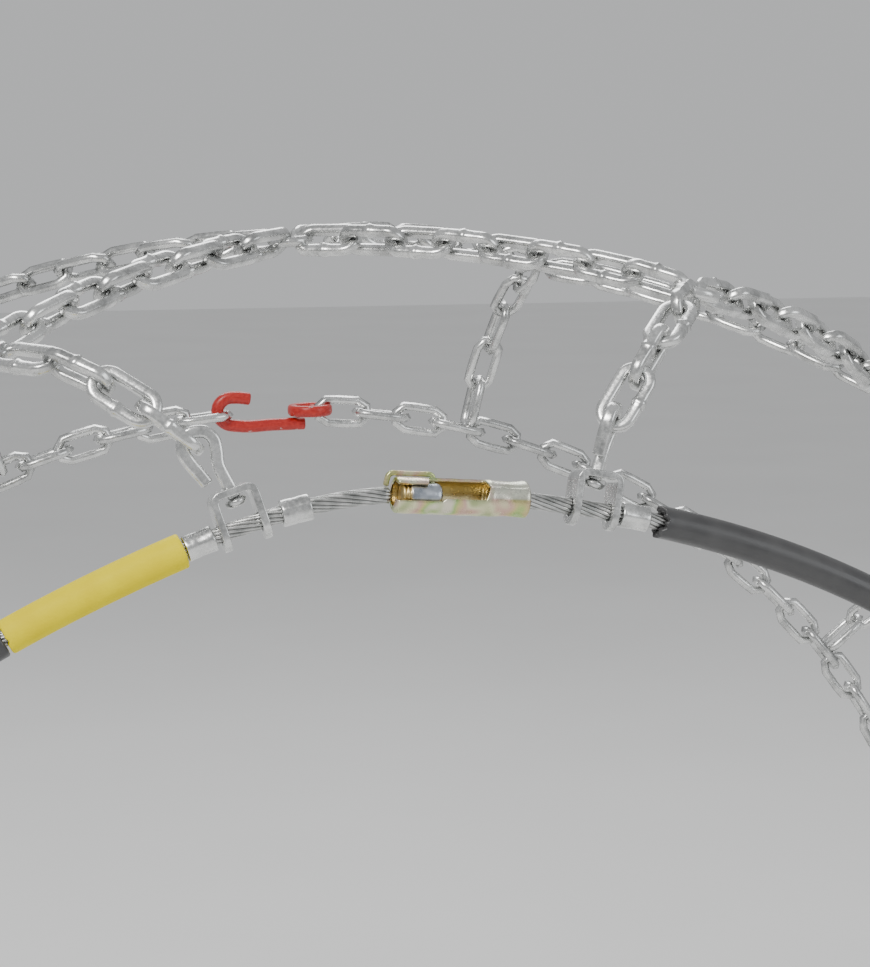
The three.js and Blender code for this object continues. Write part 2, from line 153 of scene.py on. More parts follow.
def copies(shell: Shell, matrices: Sequence[Matrix], seed: int) -> Shell:
    """Places many copies of one shell at once, each with its own shade between 0 and 1.

    Args:
        shell: The shape that repeats.
        matrices: One 4 by 4 placement in millimetres for each copy.
        seed: Seed of the shades.

    Returns:
        One shell that holds every copy.
    """
    m = np.array([np.array(x) for x in matrices])
    count, size = len(m), len(shell.points)
    points = np.einsum("kij,nj->kni", m[:, :3, :3], shell.points) + m[:, None, :3, 3]
    starts = np.arange(count) * size
    faces = [(f[None] + starts[:, None, None]).reshape(-1, f.shape[1]) for f in shell.faces]
    values = {n: np.tile(v, count) for n, v in shell.values.items()}
    values["shade"] = np.repeat(np.random.default_rng(seed).random(count), size)
    return Shell(points.reshape(-1, 3), faces, values)


def grid_faces(rows: int, columns: int, close_rows: bool, close_columns: bool) -> np.ndarray:
    """Quads of a grid of points numbered row by row.

    Args:
        rows: Points down the grid.
        columns: Points across the grid.
        close_rows: Whether the last row meets the first.
        close_columns: Whether the last column meets the first.

    Returns:
        (k, 4) array of point numbers, which face outwards when the columns turn left round the rows.
    """
    i = np.arange(rows if close_rows else rows - 1)[:, None]
    j = np.arange(columns if close_columns else columns - 1)[None, :]
    i2, j2 = (i + 1) % rows, (j + 1) % columns
    corners = (i * columns + j, i * columns + j2, i2 * columns + j2, i2 * columns + j)
    return np.stack(np.broadcast_arrays(*corners), -1).reshape(-1, 4)


def grid_shell(points: np.ndarray, close_rows: bool = False, close_columns: bool = False) -> Shell:
    """Makes a shell of a (rows, columns, 3) array of points."""
    rows, columns = points.shape[:2]
    return Shell(points.reshape(-1, 3).copy(), [grid_faces(rows, columns, close_rows, close_columns)])


def rounded_square(half: float, points: int, power: float = 5.0) -> np.ndarray:
    """Section of drawn square wire: the superellipse |x/half|^power + |y/half|^power = 1.

    Args:
        half: Half of the side.
        points: Points round the section.
        power: 2 is a circle, and a higher power is squarer.

    Returns:
        (points, 2) array, turning left.
    """
    a = (np.arange(points) + 0.5) / points * 2 * math.pi
    c, s = np.cos(a), np.sin(a)
    size = (np.abs(c) ** power + np.abs(s) ** power) ** (-1 / power)
    return half * np.stack([c * size, s * size], -1)


def run_along(line: np.ndarray) -> np.ndarray:
    """Length that a line has run at each of its points."""
    return np.concatenate([[0], np.cumsum(np.linalg.norm(np.diff(line, axis=0), axis=1))])


def smooth_line(knots: np.ndarray, count: int) -> np.ndarray:
    """Points at even steps on a smooth line through knots.

    Each coordinate is a cubic of the length run so far, whose slope at a knot is that of the chord
    between its two neighbours.

    Args:
        knots: (n, d) array of points.
        count: Points to return.

    Returns:
        (count, d) array.
    """
    knots = np.asarray(knots, float)
    run = run_along(knots)
    slope = np.gradient(knots, run, axis=0)
    fine = np.linspace(0, run[-1], count * 6)
    i = np.clip(np.searchsorted(run, fine) - 1, 0, len(run) - 2)
    h = (run[i + 1] - run[i])[:, None]
    t = (fine - run[i])[:, None] / h
    line = (
        (2 * t**3 - 3 * t**2 + 1) * knots[i]
        + (t**3 - 2 * t**2 + t) * h * slope[i]
        + (3 * t**2 - 2 * t**3) * knots[i + 1]
        + (t**3 - t**2) * h * slope[i + 1]
    )
    length = run_along(line)
    even = np.linspace(0, length[-1], count)
    return np.stack([np.interp(even, length, line[:, k]) for k in range(line.shape[1])], -1)


def flat_sweep(
    line: np.ndarray, section: np.ndarray, size: np.ndarray | None = None, closed: bool = False
) -> Shell:
    """Carries a section along a line in the XZ plane.

    A point is the line's point plus the section's x along the line's left normal and its y along -Y. An
    open line's ends are closed flat with a bevel of 0.35.

    Args:
        line: (n, 2) array of X and Z.
        section: (m, 2) array, turning left.
        size: Size of the section at each point of the line, or None for 1 all along.
        closed: Whether the line's end meets its start.

    Returns:
        The closed shell, with how far it has run in "along".
    """
    size = np.ones(len(line)) if size is None else size
    if closed:
        tangent = np.roll(line, -1, axis=0) - np.roll(line, 1, axis=0)
    else:
        tangent = np.gradient(line, axis=0)
    tangent = tangent / np.linalg.norm(tangent, axis=1)[:, None]
    if not closed:
        bevel = 0.35
        inner = 1 - bevel / np.abs(section).max()
        first, last = tangent[:1] * bevel, tangent[-1:] * bevel
        line = np.concatenate(
            [line[:1], line[:1], line[:1] + first, line[1:-1], line[-1:] - last, line[-1:], line[-1:]]
        )
        tangent = np.concatenate([tangent[:1]] * 3 + [tangent[1:-1]] + [tangent[-1:]] * 3)
        ends = ([0.0, inner * size[0]], [inner * size[-1], 0.0])
        size = np.concatenate([ends[0], size[:1], size[1:-1], size[-1:], ends[1]])
    normal = np.stack([-tangent[:, 1], tangent[:, 0]], -1)
    out = section[None, :, 0] * size[:, None]
    x = line[:, None, 0] + normal[:, None, 0] * out
    z = line[:, None, 1] + normal[:, None, 1] * out
    y = -section[None, :, 1] * size[:, None]
    shell = grid_shell(np.stack([x, y, z], -1), close_rows=closed, close_columns=True)
    run = run_along(line)
    return shell.tagged("along", np.repeat(run, len(section))).welded()


def turned(profile: Sequence[tuple[float, float]], steps: int) -> Shell:
    """Turns a profile of (radius, height) points about Z.

    Args:
        profile: Points from the bottom of the axis to its top, so that the faces point out.
        steps: Points round the axis.

    Returns:
        The shell, closed where the profile starts and ends on the axis.
    """
    p = np.asarray(profile, float)
    a = np.arange(steps) / steps * 2 * math.pi
    points = np.stack(
        [p[:, None, 0] * np.cos(a), p[:, None, 0] * np.sin(a), np.repeat(p[:, None, 1], steps, 1)], -1
    )
    return grid_shell(points, close_columns=True).welded()


# ---------------------------------------------------------------- finishes


class Value:
    """A shader socket that adds Math nodes when it is used in a sum or a product."""

    def __init__(self, kit: "NodeKit", socket: bpy.types.NodeSocket) -> None:
        """Keeps the node kit and the output socket that this value stands for."""
        self.kit = kit
        self.socket = socket

    def _math(self, operation: str, a: "Value | float", b: "Value | float") -> "Value":
        """Adds a Math node for one operation on two values."""
        return self.kit.value("ShaderNodeMath", {"operation": operation}, {0: a, 1: b})

    def __add__(self, other: "Value | float") -> "Value":
        """self + other."""
        return self._math("ADD", self, other)

    def __mul__(self, other: "Value | float") -> "Value":
        """self * other."""
        return self._math("MULTIPLY", self, other)

    def __sub__(self, other: "Value | float") -> "Value":
        """self - other."""
        return self._math("SUBTRACT", self, other)


class NodeKit:
    """Builds one material's nodes."""

    def __init__(self, name: str) -> None:
        """Starts a material with a Principled shader and its output."""
        self.material = bpy.data.materials.new(name)
        self.material.use_nodes = True
        self.tree = self.material.node_tree
        self.shader = self.tree.nodes["Principled BSDF"]

    def node(self, kind: str, settings: dict, inputs: dict) -> bpy.types.Node:
        """Adds a node.

        Args:
            kind: Node type.
            settings: Properties to set first; "stops" holds a ramp's (place, colour) pairs.
            inputs: Values, colours or Value links by socket name or number.

        Returns:
            The node.
        """
        made = self.tree.nodes.new(kind)
        for key, value in settings.items():
            if key == "stops":
                ramp = made.color_ramp
                while len(ramp.elements) < len(value):
                    ramp.elements.new(1.0)
                for element, (place, colour) in zip(ramp.elements, value):
                    element.position = place
                    element.color = (*colour, 1.0)
            else:
                setattr(made, key, value)
        for key, value in inputs.items():
            socket = made.inputs[key]
            if isinstance(value, Value):
                self.tree.links.new(value.socket, socket)
            else:
                socket.default_value = value
        return made

    def value(self, kind: str, settings: dict, inputs: dict, output: int | str = 0) -> Value:
        """Adds a node and returns one of its outputs."""
        return Value(self, self.node(kind, settings, inputs).outputs[output])

    def place(self) -> Value:
        """The piece's own coordinates."""
        return self.value("ShaderNodeTexCoord", {}, {}, "Object")

    def stored(self, name: str, output: str = "Fac") -> Value:
        """A value that the mesh stores at each point."""
        return self.value("ShaderNodeAttribute", {"attribute_name": name}, {}, output)

    def noise(self, scale: float, detail: float = 3.0, at: Value | None = None) -> Value:
        """Noise between 0 and 1 at a number of features in a metre."""
        where = at or self.place()
        return self.value(
            "ShaderNodeTexNoise", {}, {"Vector": where, "Scale": scale, "Detail": detail}, "Fac"
        )

    def ramp(self, value: Value, stops: Sequence[tuple[float, tuple]]) -> Value:
        """Turns a value into a colour through a ramp's stops."""
        return self.value("ShaderNodeValToRGB", {"stops": stops}, {"Fac": value}, "Color")

    def between(self, value: Value, low: float, high: float, start: float = 0.0, end: float = 1.0) -> Value:
        """Maps a value's stretch low to high onto start to end, and keeps it there."""
        return self.value("ShaderNodeMapRange", {}, {0: value, 1: low, 2: high, 3: start, 4: end})

    def mix(self, share: Value, a: Value | tuple, b: Value | tuple) -> Value:
        """Mixes two colours by a share."""
        inputs = {0: share}
        for number, colour in ((6, a), (7, b)):
            inputs[number] = colour if isinstance(colour, Value) else (*colour, 1.0)
        return self.value("ShaderNodeMix", {"data_type": "RGBA"}, inputs, 2)

    def dress(self, **sockets: "Value | float | tuple") -> bpy.types.Material:
        """Sets the shader's sockets, named with underscores for spaces, and returns the material."""
        for key, value in sockets.items():
            socket = self.shader.inputs[key.replace("_", " ")]
            if isinstance(value, Value):
                self.tree.links.new(value.socket, socket)
            elif isinstance(value, tuple) and len(value) == 3:
                socket.default_value = (*value, 1.0)
            else:
                socket.default_value = value
        return self.material

    def bump(self, height: Value, distance: float, strength: float = 1.0) -> Value:
        """A normal from a height, whose full range stands for a distance in metres."""
        inputs = {"Height": height, "Distance": distance, "Strength": strength}
        return self.value("ShaderNodeBump", {}, inputs, "Normal")


@dataclass(frozen=True)
class Galvanised:
    """Bright zinc on steel wire and plate, cloudy, with fine handling marks."""

    light: tuple = (0.78, 0.785, 0.775)
    dull: tuple = (0.42, 0.425, 0.42)
    roughness: float = 0.24

    def material(self) -> bpy.types.Material:
        """Builds the finish."""
        kit = NodeKit("galvanised_steel")
        cloud = kit.noise(150.0, 3.0)
        grain = kit.noise(1100.0, 2.0)
        pits = kit.between(kit.noise(620.0, 4.0), 0.66, 0.74)
        tone = kit.between(cloud * 0.75 + grain * 0.25 + kit.stored("shade") * 0.1, 0.38, 0.64)
        colour = kit.mix(tone, self.dull, self.light)
        colour = kit.mix(pits * 0.3, colour, (0.30, 0.30, 0.29))
        # painted shade at the foot of a link's weld bead
        colour = kit.mix(kit.stored("groove") * 0.75, colour, (0.10, 0.10, 0.10))
        rough = kit.between(grain, 0.3, 0.7, self.roughness - 0.06, self.roughness + 0.08) + pits * 0.15
        normal = kit.bump(cloud * 0.5 + grain * 0.35 - pits * 0.25, 0.00012, 0.4)
        return kit.dress(Base_Color=colour, Metallic=1.0, Roughness=rough, Normal=normal)


@dataclass(frozen=True)
class CableWire:
    """Drawn galvanised wire, laid up in a cable, with painted shade between its strands."""

    def material(self) -> bpy.types.Material:
        """Builds the finish."""
        kit = NodeKit("cable_wire")
        cloud = kit.noise(300.0, 3.0)
        tone = kit.between(cloud, 0.35, 0.65)
        colour = kit.mix(tone, (0.42, 0.43, 0.42), (0.66, 0.66, 0.65))
        # painted shade: darkens the valleys between the strands
        colour = kit.mix(kit.stored("groove"), colour, (0.055, 0.055, 0.052))
        normal = kit.bump(kit.noise(3000.0, 2.0), 0.00006, 0.4)
        rough = kit.between(cloud, 0.3, 0.7, 0.26, 0.4)
        return kit.dress(Base_Color=colour, Metallic=1.0, Roughness=rough, Normal=normal)


@dataclass(frozen=True)
class YellowZinc:
    """Yellow-passivated zinc with bands of gold, green, rose and silver."""

    def material(self) -> bpy.types.Material:
        """Builds the finish; the mesh's "gilt" value turns silver into gold."""
        kit = NodeKit("yellow_zinc")
        flow = kit.noise(95.0, 2.0)
        bands = kit.ramp(
            kit.between(flow, 0.32, 0.68),
            [
                (0.0, (0.44, 0.50, 0.26)),
                (0.22, (0.72, 0.70, 0.46)),
                (0.42, (0.66, 0.44, 0.36)),
                (0.58, (0.62, 0.54, 0.26)),
                (0.76, (0.40, 0.56, 0.20)),
                (1.0, (0.74, 0.70, 0.56)),
            ],
        )
        gold = kit.ramp(kit.noise(300.0, 3.0), [(0.3, (0.66, 0.54, 0.27)), (0.7, (0.84, 0.74, 0.44))])
        silver = kit.ramp(kit.noise(200.0, 3.0), [(0.3, (0.60, 0.61, 0.52)), (0.7, (0.86, 0.86, 0.78))])
        gilt = kit.stored("gilt")
        colour = kit.mix(kit.between(gilt, 0.0, 0.5), silver, bands)
        colour = kit.mix(kit.between(gilt, 0.5, 1.0), colour, gold)
        grain = kit.noise(1800.0, 3.0)
        rough = kit.between(grain, 0.3, 0.7, 0.24, 0.42)
        normal = kit.bump(grain + kit.noise(400.0, 2.0) * 0.6, 0.0001, 0.45)
        return kit.dress(Base_Color=colour, Metallic=1.0, Roughness=rough, Normal=normal)


@dataclass(frozen=True)
class PlugSteel:
    """Blue-grey steel of the plug, with gilded ridges."""

    def material(self) -> bpy.types.Material:
        """Builds the finish; the mesh's "gilt" value turns steel into gold."""
        kit = NodeKit("plug_steel")
        cloud = kit.noise(350.0, 3.0)
        steel = kit.ramp(cloud, [(0.35, (0.36, 0.40, 0.46)), (0.65, (0.58, 0.62, 0.68))])
        colour = kit.mix(kit.stored("gilt"), steel, (0.62, 0.47, 0.20))
        normal = kit.bump(kit.noise(1800.0, 3.0), 0.00008, 0.4)
        rough = kit.between(cloud, 0.3, 0.7, 0.24, 0.36)
        return kit.dress(Base_Color=colour, Metallic=1.0, Roughness=rough, Normal=normal)


@dataclass(frozen=True)
class Vinyl:
    """Extruded soft vinyl, with draw lines along it and scuffs."""

    name: str
    colour: tuple
    scuff: tuple
    roughness: float
    scuffed: float
    gloss: float

    def material(self) -> bpy.types.Material:
        """Builds the finish; draw lines follow the mesh's "cosine", "sine" and "along" values."""
        kit = NodeKit(self.name)
        where = kit.value(
            "ShaderNodeCombineXYZ",
            {},
            {0: kit.stored("cosine") * 14.0, 1: kit.stored("sine") * 14.0, 2: kit.stored("along") * 0.05},
        )
        lines = kit.noise(1.0, 2.0, at=where)
        grime = kit.noise(120.0, 5.0)
        scuffs = kit.between(kit.noise(900.0, 4.0) * 0.5 + lines * 0.5, 0.56, 0.66)
        colour = kit.mix(kit.between(grime, 0.35, 0.7), self.colour, self.scuff)
        colour = kit.mix(scuffs * self.scuffed, colour, self.scuff)
        rough = kit.between(grime, 0.3, 0.7, self.roughness - 0.07, self.roughness + 0.1) + scuffs * 0.15
        normal = kit.bump(lines * 0.5 + kit.noise(1600.0, 3.0) * 0.5, 0.00012, 0.5)
        return kit.dress(Base_Color=colour, Roughness=rough, Normal=normal, Specular_IOR_Level=self.gloss)


@dataclass(frozen=True)
class RedCoat:
    """Red dip coating on the hooks and the cam, worn to zinc in spots."""

    def material(self) -> bpy.types.Material:
        """Builds the finish."""
        kit = NodeKit("red_coat")
        peel = kit.noise(900.0, 3.0)
        worn = kit.between(kit.noise(230.0, 6.0), 0.64, 0.68)
        colour = kit.mix(kit.between(peel, 0.3, 0.7), (0.36, 0.012, 0.01), (0.5, 0.03, 0.02))
        colour = kit.mix(worn, colour, (0.6, 0.6, 0.58))
        rough = kit.between(peel, 0.3, 0.7, 0.28, 0.42)
        normal = kit.bump(peel * 0.5 - worn, 0.0001, 0.6)
        return kit.dress(Base_Color=colour, Metallic=worn, Roughness=rough, Normal=normal)


@dataclass(frozen=True)
class PaleFloor:
    """Plain pale studio floor."""

    def material(self) -> bpy.types.Material:
        """Builds the finish."""
        kit = NodeKit("pale_floor")
        tone = kit.between(kit.noise(3.0, 3.0), 0.3, 0.7)
        colour = kit.mix(tone, (0.80, 0.80, 0.795), (0.83, 0.83, 0.825))
        return kit.dress(Base_Color=colour, Roughness=0.75)


class Finish(Enum):
    """Finishes, each with the record's material slot that it stands for."""

    ZINC = "zinc_steel"
    CABLE = "cable_steel"
    YELLOW_ZINC = "yellow_zinc"
    GREY_VINYL = "grey_sheath"
    YELLOW_VINYL = "yellow_sleeve"
    RED = "red_coat"


def make_finishes() -> dict[Finish, bpy.types.Material]:
    """Builds each finish once."""
    grey = Vinyl("grey_vinyl", (0.042, 0.042, 0.044), (0.062, 0.062, 0.063), 0.36, 0.25, 0.6)
    yellow = Vinyl("yellow_vinyl", (0.84, 0.70, 0.0), (0.78, 0.63, 0.0), 0.5, 0.2, 0.12)
    makers = {
        Finish.ZINC: Galvanised(),
        Finish.CABLE: CableWire(),
        Finish.YELLOW_ZINC: YellowZinc(),
        Finish.GREY_VINYL: grey,
        Finish.YELLOW_VINYL: yellow,
        Finish.RED: RedCoat(),
    }
    return {finish: maker.material() for finish, maker in makers.items()}


FINISHES = make_finishes()


def new_object(name: str, shell: Shell) -> bpy.types.Object:
    """Makes a smooth-shaded mesh object of a shell, at the origin and in metres."""
    mesh = bpy.data.meshes.new(name)
    mesh.vertices.add(len(shell.points))
    mesh.vertices.foreach_set("co", (shell.points * METRE).astype(np.float32).ravel())
    sizes = np.concatenate([np.full(len(f), f.shape[1]) for f in shell.faces])
    mesh.loops.add(int(sizes.sum()))
    corners = np.concatenate([f.ravel() for f in shell.faces])
    mesh.loops.foreach_set("vertex_index", corners.astype(np.int32))
    mesh.polygons.add(len(sizes))
    mesh.polygons.foreach_set("loop_start", np.concatenate([[0], np.cumsum(sizes)[:-1]]).astype(np.int32))
    for key, value in shell.values.items():
        mesh.attributes.new(key, "FLOAT", "POINT").data.foreach_set("value", value.astype(np.float32))
    mesh.update(calc_edges=True)
    mesh.validate()
    mesh.polygons.foreach_set("use_smooth", np.ones(len(mesh.polygons), bool))
    made = bpy.data.objects.new(name, mesh)
    bpy.context.scene.collection.objects.link(made)
    return made


def add_piece(name: str, shell: Shell, finish: Finish, body: str, nodes: Sequence[str]) -> bpy.types.Object:
    """Makes a piece, dresses it, and ties it to the frame.

    Args:
        name: The piece's name.
        shell: Its shape.
        finish: Its finish.
        body: CAD body that it rides on.
        nodes: CAD nodes that it stands for.

    Returns:
        The object.
    """
    piece = new_object(name, shell)
    piece.data.materials.append(FINISHES[finish])
    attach(piece, body)
    if nodes:
        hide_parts(*nodes)
    LOG.info("%s: %d points on %s", name, len(piece.data.vertices), body)
    return piece


def round_edges(piece: bpy.types.Object, width: float, angle: float) -> None:
    """Rounds a piece's edges that turn by more than an angle in degrees, by a width in millimetres."""
    edge = piece.modifiers.new("edges", "BEVEL")
    edge.width = width * METRE
    edge.segments = 3
    edge.limit_method = "ANGLE"
    edge.angle_limit = math.radians(angle)
    edge.harden_normals = True


# ---------------------------------------------------------------- places on the wheel


def on_wheel(radius: float, y: float, angle: float) -> Vector:
    """Place at a radius, a distance along the axle and a wheel angle, in millimetres."""
    a = math.radians(angle)
    return Vector((radius * math.sin(a), y, radius * math.cos(a)))


def wheel_angle(place: Vector) -> float:
    """Wheel angle of a place, between -180 and 180."""
    return math.degrees(math.atan2(place.x, place.z))


def hoop_radius(angle: np.ndarray) -> np.ndarray:
    """Radius of the inner hoop: a circle that rises in a bell curve near the coupler."""
    turn = (np.asarray(angle, float) + 540.0) % 360.0 - 180.0
    off = (turn - HOOP_RISE_ANGLE) / HOOP_RISE_SPREAD
    return HOOP_RADIUS + HOOP_RISE * np.exp(-off * off)


def hoop_points(angle: np.ndarray) -> np.ndarray:
    """Places of the hoop's centre line."""
    a, r = np.radians(angle), hoop_radius(angle)
    return np.stack([r * np.sin(a), np.full_like(a, HOOP_Y), r * np.cos(a)], -1)


def hoop_frame(angle: float) -> Matrix:
    """Frame on the hoop, with X along it, Y along the axle and Z away from the wheel's centre."""
    low, middle, high = hoop_points(np.array([angle - 0.05, angle, angle + 0.05]))
    turn = math.atan2(-(high - low)[2], (high - low)[0])
    return Matrix.Translation(Vector(middle)) @ Matrix.Rotation(turn, 4, "Y")


def hoop_tube(angles: np.ndarray, radii: np.ndarray, around: np.ndarray) -> np.ndarray:
    """Points of a tube along the hoop.

    Args:
        angles: (n,) or (n, m) wheel angles of the rows.
        radii: (n, m) distances from the hoop's centre line.
        around: (n, m) angles round it in radians, 0 away from the wheel's centre and turning to -Y.

    Returns:
        (n, m, 3) array.
    """
    angles = np.broadcast_to(angles if angles.ndim == 2 else angles[:, None], radii.shape)
    centre = hoop_points(angles)
    along = hoop_points(angles + 0.05) - hoop_points(angles - 0.05)
    along /= np.linalg.norm(along, axis=-1)[..., None]
    out = np.stack([-along[..., 2], np.zeros_like(radii), along[..., 0]], -1)
    points = centre + out * (radii * np.cos(around))[..., None]
    points[..., 1] -= radii * np.sin(around)
    return points


def arm_angle(number: int) -> float:
    """Wheel angle of an arm's joint with the tread chain."""
    return FIRST_ARM + ARM_PITCH * number


def tension_ends() -> tuple[Vector, Vector]:
    """Places where the tension chain leaves its lock and where its hook's shank starts."""
    lock = on_wheel(226, SIDE_Y, 197)
    return lock, on_wheel(SIDE_RADIUS - 25, SIDE_Y, 232)


def tread_radius(y: float) -> float:
    """Radius of the chain's line at a distance along the axle."""
    return float(np.interp(abs(y), TREAD_PROFILE[:, 0], TREAD_PROFILE[:, 1]))


class Side(Enum):
    """Which of the arms beside the coupler an arm is, with its swivel eye's turn, lean and pull."""

    LEFT = (0.0, -7.0, -32.0)
    RIGHT = (60.0, 10.0, 34.0)
    OTHER = (90.0, 0.0, 0.0)


@dataclass(frozen=True)
class Arm:
    """One arm of the chain, from its bracket on the hoop to its joint with the tread chain.

    Attributes:
        number: 0 for the arm right of the coupler, and on round the wheel.
    """

    number: int

    @property
    def side(self) -> Side:
        """Which arm it is."""
        return {0: Side.RIGHT, ARMS - 1: Side.LEFT}.get(self.number, Side.OTHER)

    @property
    def bracket_angle(self) -> float:
        """Wheel angle of its bracket."""
        return {Side.RIGHT: 8.1, Side.LEFT: -12.6}.get(self.side, arm_angle(self.number))

    def bracket_frame(self) -> Matrix:
        """Frame of its bracket, on the cable and leaning 8 degrees to the tyre."""
        return hoop_frame(self.bracket_angle) @ Matrix.Rotation(math.radians(-8), 4, "X")

    def eye_frame(self) -> Matrix:
        """Frame of its swivel eye, on the bracket's top."""
        turn, lean, _ = self.side.value
        leaning = Matrix.Rotation(math.radians(lean), 4, "Y") @ Matrix.Rotation(math.radians(turn), 4, "Z")
        return self.bracket_frame() @ Matrix.Translation((0, 0, 10.6)) @ leaning

    def line(self) -> np.ndarray:
        """Points every half a millimetre or so on the arm's line, from its eye to the tread chain."""
        pull = math.radians(self.side.value[2])
        start = self.eye_frame() @ Vector((-2.6 + 2.3 * math.sin(pull), 0, 12.4 + 2.3 * math.cos(pull)))
        radius = math.hypot(start.x, start.z)
        first = wheel_angle(start)
        turn = (arm_angle(self.number) - first + 540) % 360 - 180
        rows = [(-start.y, radius)]
        rows += [(y, r) for y, r in TREAD_PROFILE[::-1] if r > radius + 6 and y > JUNCTION_Y + 8]
        rows.append((JUNCTION_Y, tread_radius(JUNCTION_Y)))
        climbed = run_along(np.array(rows))
        angles = first + turn * climbed / climbed[-1]
        return smooth_line(np.array([on_wheel(r, -y, a) for (y, r), a in zip(rows, angles)]), 200)


# ---------------------------------------------------------------- chain links


@dataclass(frozen=True)
class LinkShape:
    """A welded chain link in its XZ plane, pulled apart along X.

    Attributes:
        wire: Side of its drawn wire.
        inner_length: Length of its hole.
        inner_width: Width of its hole.
        rows: Points along its wire.
        columns: Points round its wire.
        bead: How far the weld stands out of the wire.
    """

    wire: float = 3.2
    inner_length: float = 15.0
    inner_width: float = 4.8
    rows: int = 72
    columns: int = 16
    bead: float = 0.32

    def build(self) -> Shell:
        """Sweeps the wire round two half circles and two straights.

        The wire swells by the bead in a bell curve at the middle of one straight, and flattens a little
        inside both ends, where its neighbours bear.
        """
        half = (self.inner_width + self.wire) / 2
        straight = (self.inner_length - self.inner_width) / 2
        length = 4 * straight + 2 * math.pi * half
        share = np.linspace(0, 1, self.rows, endpoint=False)
        middle = straight / length
        s = (share - 0.022 * np.sin(2 * math.pi * (share - middle)) * (self.bead > 0)) % 1.0 * length
        bend = math.pi * half
        t = s % (2 * straight + bend)
        turned_over = s >= 2 * straight + bend
        a = np.clip((t - 2 * straight) / half, 0, math.pi)
        x = np.where(t < 2 * straight, t - straight, straight + half * np.sin(a))
        z = np.where(t < 2 * straight, -half, -half * np.cos(a))
        sign = np.where(turned_over, -1.0, 1.0)
        line = np.stack([x * sign, z * sign], -1)
        weld = np.exp(-(((s - straight) / 0.62) ** 2)) + 0.35 * np.exp(-(((s - straight) / 1.9) ** 2))
        worn = np.exp(-(((np.abs(line[:, 0]) - straight - half) / 1.2) ** 2))
        size = 1 + self.bead / (self.wire / 2) * weld - 0.05 * worn * (self.bead > 0)
        power = 4.2 if self.columns > 8 else 2.0
        section = rounded_square(self.wire / 2, self.columns, power)
        shell = flat_sweep(line, section, size, closed=True)
        # painted shade in a narrow band each side of the weld bead, at its foot
        beside = np.exp(-(((np.abs(shell.values["along"] - straight) - 0.95) / 0.3) ** 2))
        return shell.tagged("groove", 0.35 * beside * (self.bead > 0))


FINE_LINK = LinkShape().build()
PLAIN_LINK = LinkShape(rows=30, columns=8, bead=0.0).build()
FAR_LINK = LinkShape(rows=12, columns=5, bead=0.0).build()


def link_frame(start: Vector, end: Vector, roll: float) -> Matrix:
    """Frame of a link between two places where its neighbours bear.

    Args:
        start: Place in millimetres.
        end: Place in millimetres.
        roll: 0 lays the link flat on the tyre, and 90 stands it on edge.

    Returns:
        A frame with X along the link and Y out of its plane.
    """
    along = (end - start).normalized()
    middle = (start + end) / 2
    across = max(-SHOULDER_Y, min(SHOULDER_Y, middle.y))
    core = on_wheel(SHOULDER_RADIUS, across, wheel_angle(middle))
    side = along.cross(middle - core).normalized()
    normal = side.cross(along)
    normal.rotate(Matrix.Rotation(math.radians(roll), 3, along))
    made = Matrix((along, normal, along.cross(normal))).transposed().to_4x4()
    made.translation = middle
    return made


def chain_frames(line: np.ndarray, rolls: Sequence[float], pitch: float = 14.0) -> list[Matrix]:
    """Frames of as many links as a line has room for, with the pitch stretched to fit it.

    Args:
        line: (n, 3) array of places.
        rolls: Rolls that the links take in turn.
        pitch: Length that a link takes up.

    Returns:
        The frames, from the line's start.
    """
    run = run_along(line)
    count = max(1, round(run[-1] / pitch))
    at = np.linspace(0, run[-1], count + 1)
    stops = [Vector([np.interp(s, run, line[:, k]) for k in range(3)]) for s in at]
    return [link_frame(stops[i], stops[i + 1], rolls[i % len(rolls)]) for i in range(count)]


def cut_line(line: np.ndarray, start: float, end: float | None = None) -> np.ndarray:
    """The stretch of a line between two lengths along it."""
    run = run_along(line)
    at = np.linspace(start, run[-1] if end is None else end, 120)
    return np.stack([np.interp(at, run, line[:, k]) for k in range(3)], -1)


def node_points(name: str) -> np.ndarray:
    """Points of a CAD node's mesh, in millimetres."""
    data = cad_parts[name].data
    points = np.empty(len(data.vertices) * 3, np.float32)
    data.vertices.foreach_get("co", points)
    return points.reshape(-1, 3).astype(float) / METRE


def node_frame(name: str) -> Matrix:
    """Frame of a link's CAD node, with X along its longest extent and Y along its shortest."""
    points = node_points(name)
    centre = points.mean(0)
    _, axes = np.linalg.eigh(np.cov((points - centre).T))
    x, y = Vector(axes[:, 2]), Vector(axes[:, 0])
    made = Matrix((x, y, x.cross(y))).transposed().to_4x4()
    made.translation = Vector(centre)
    return made


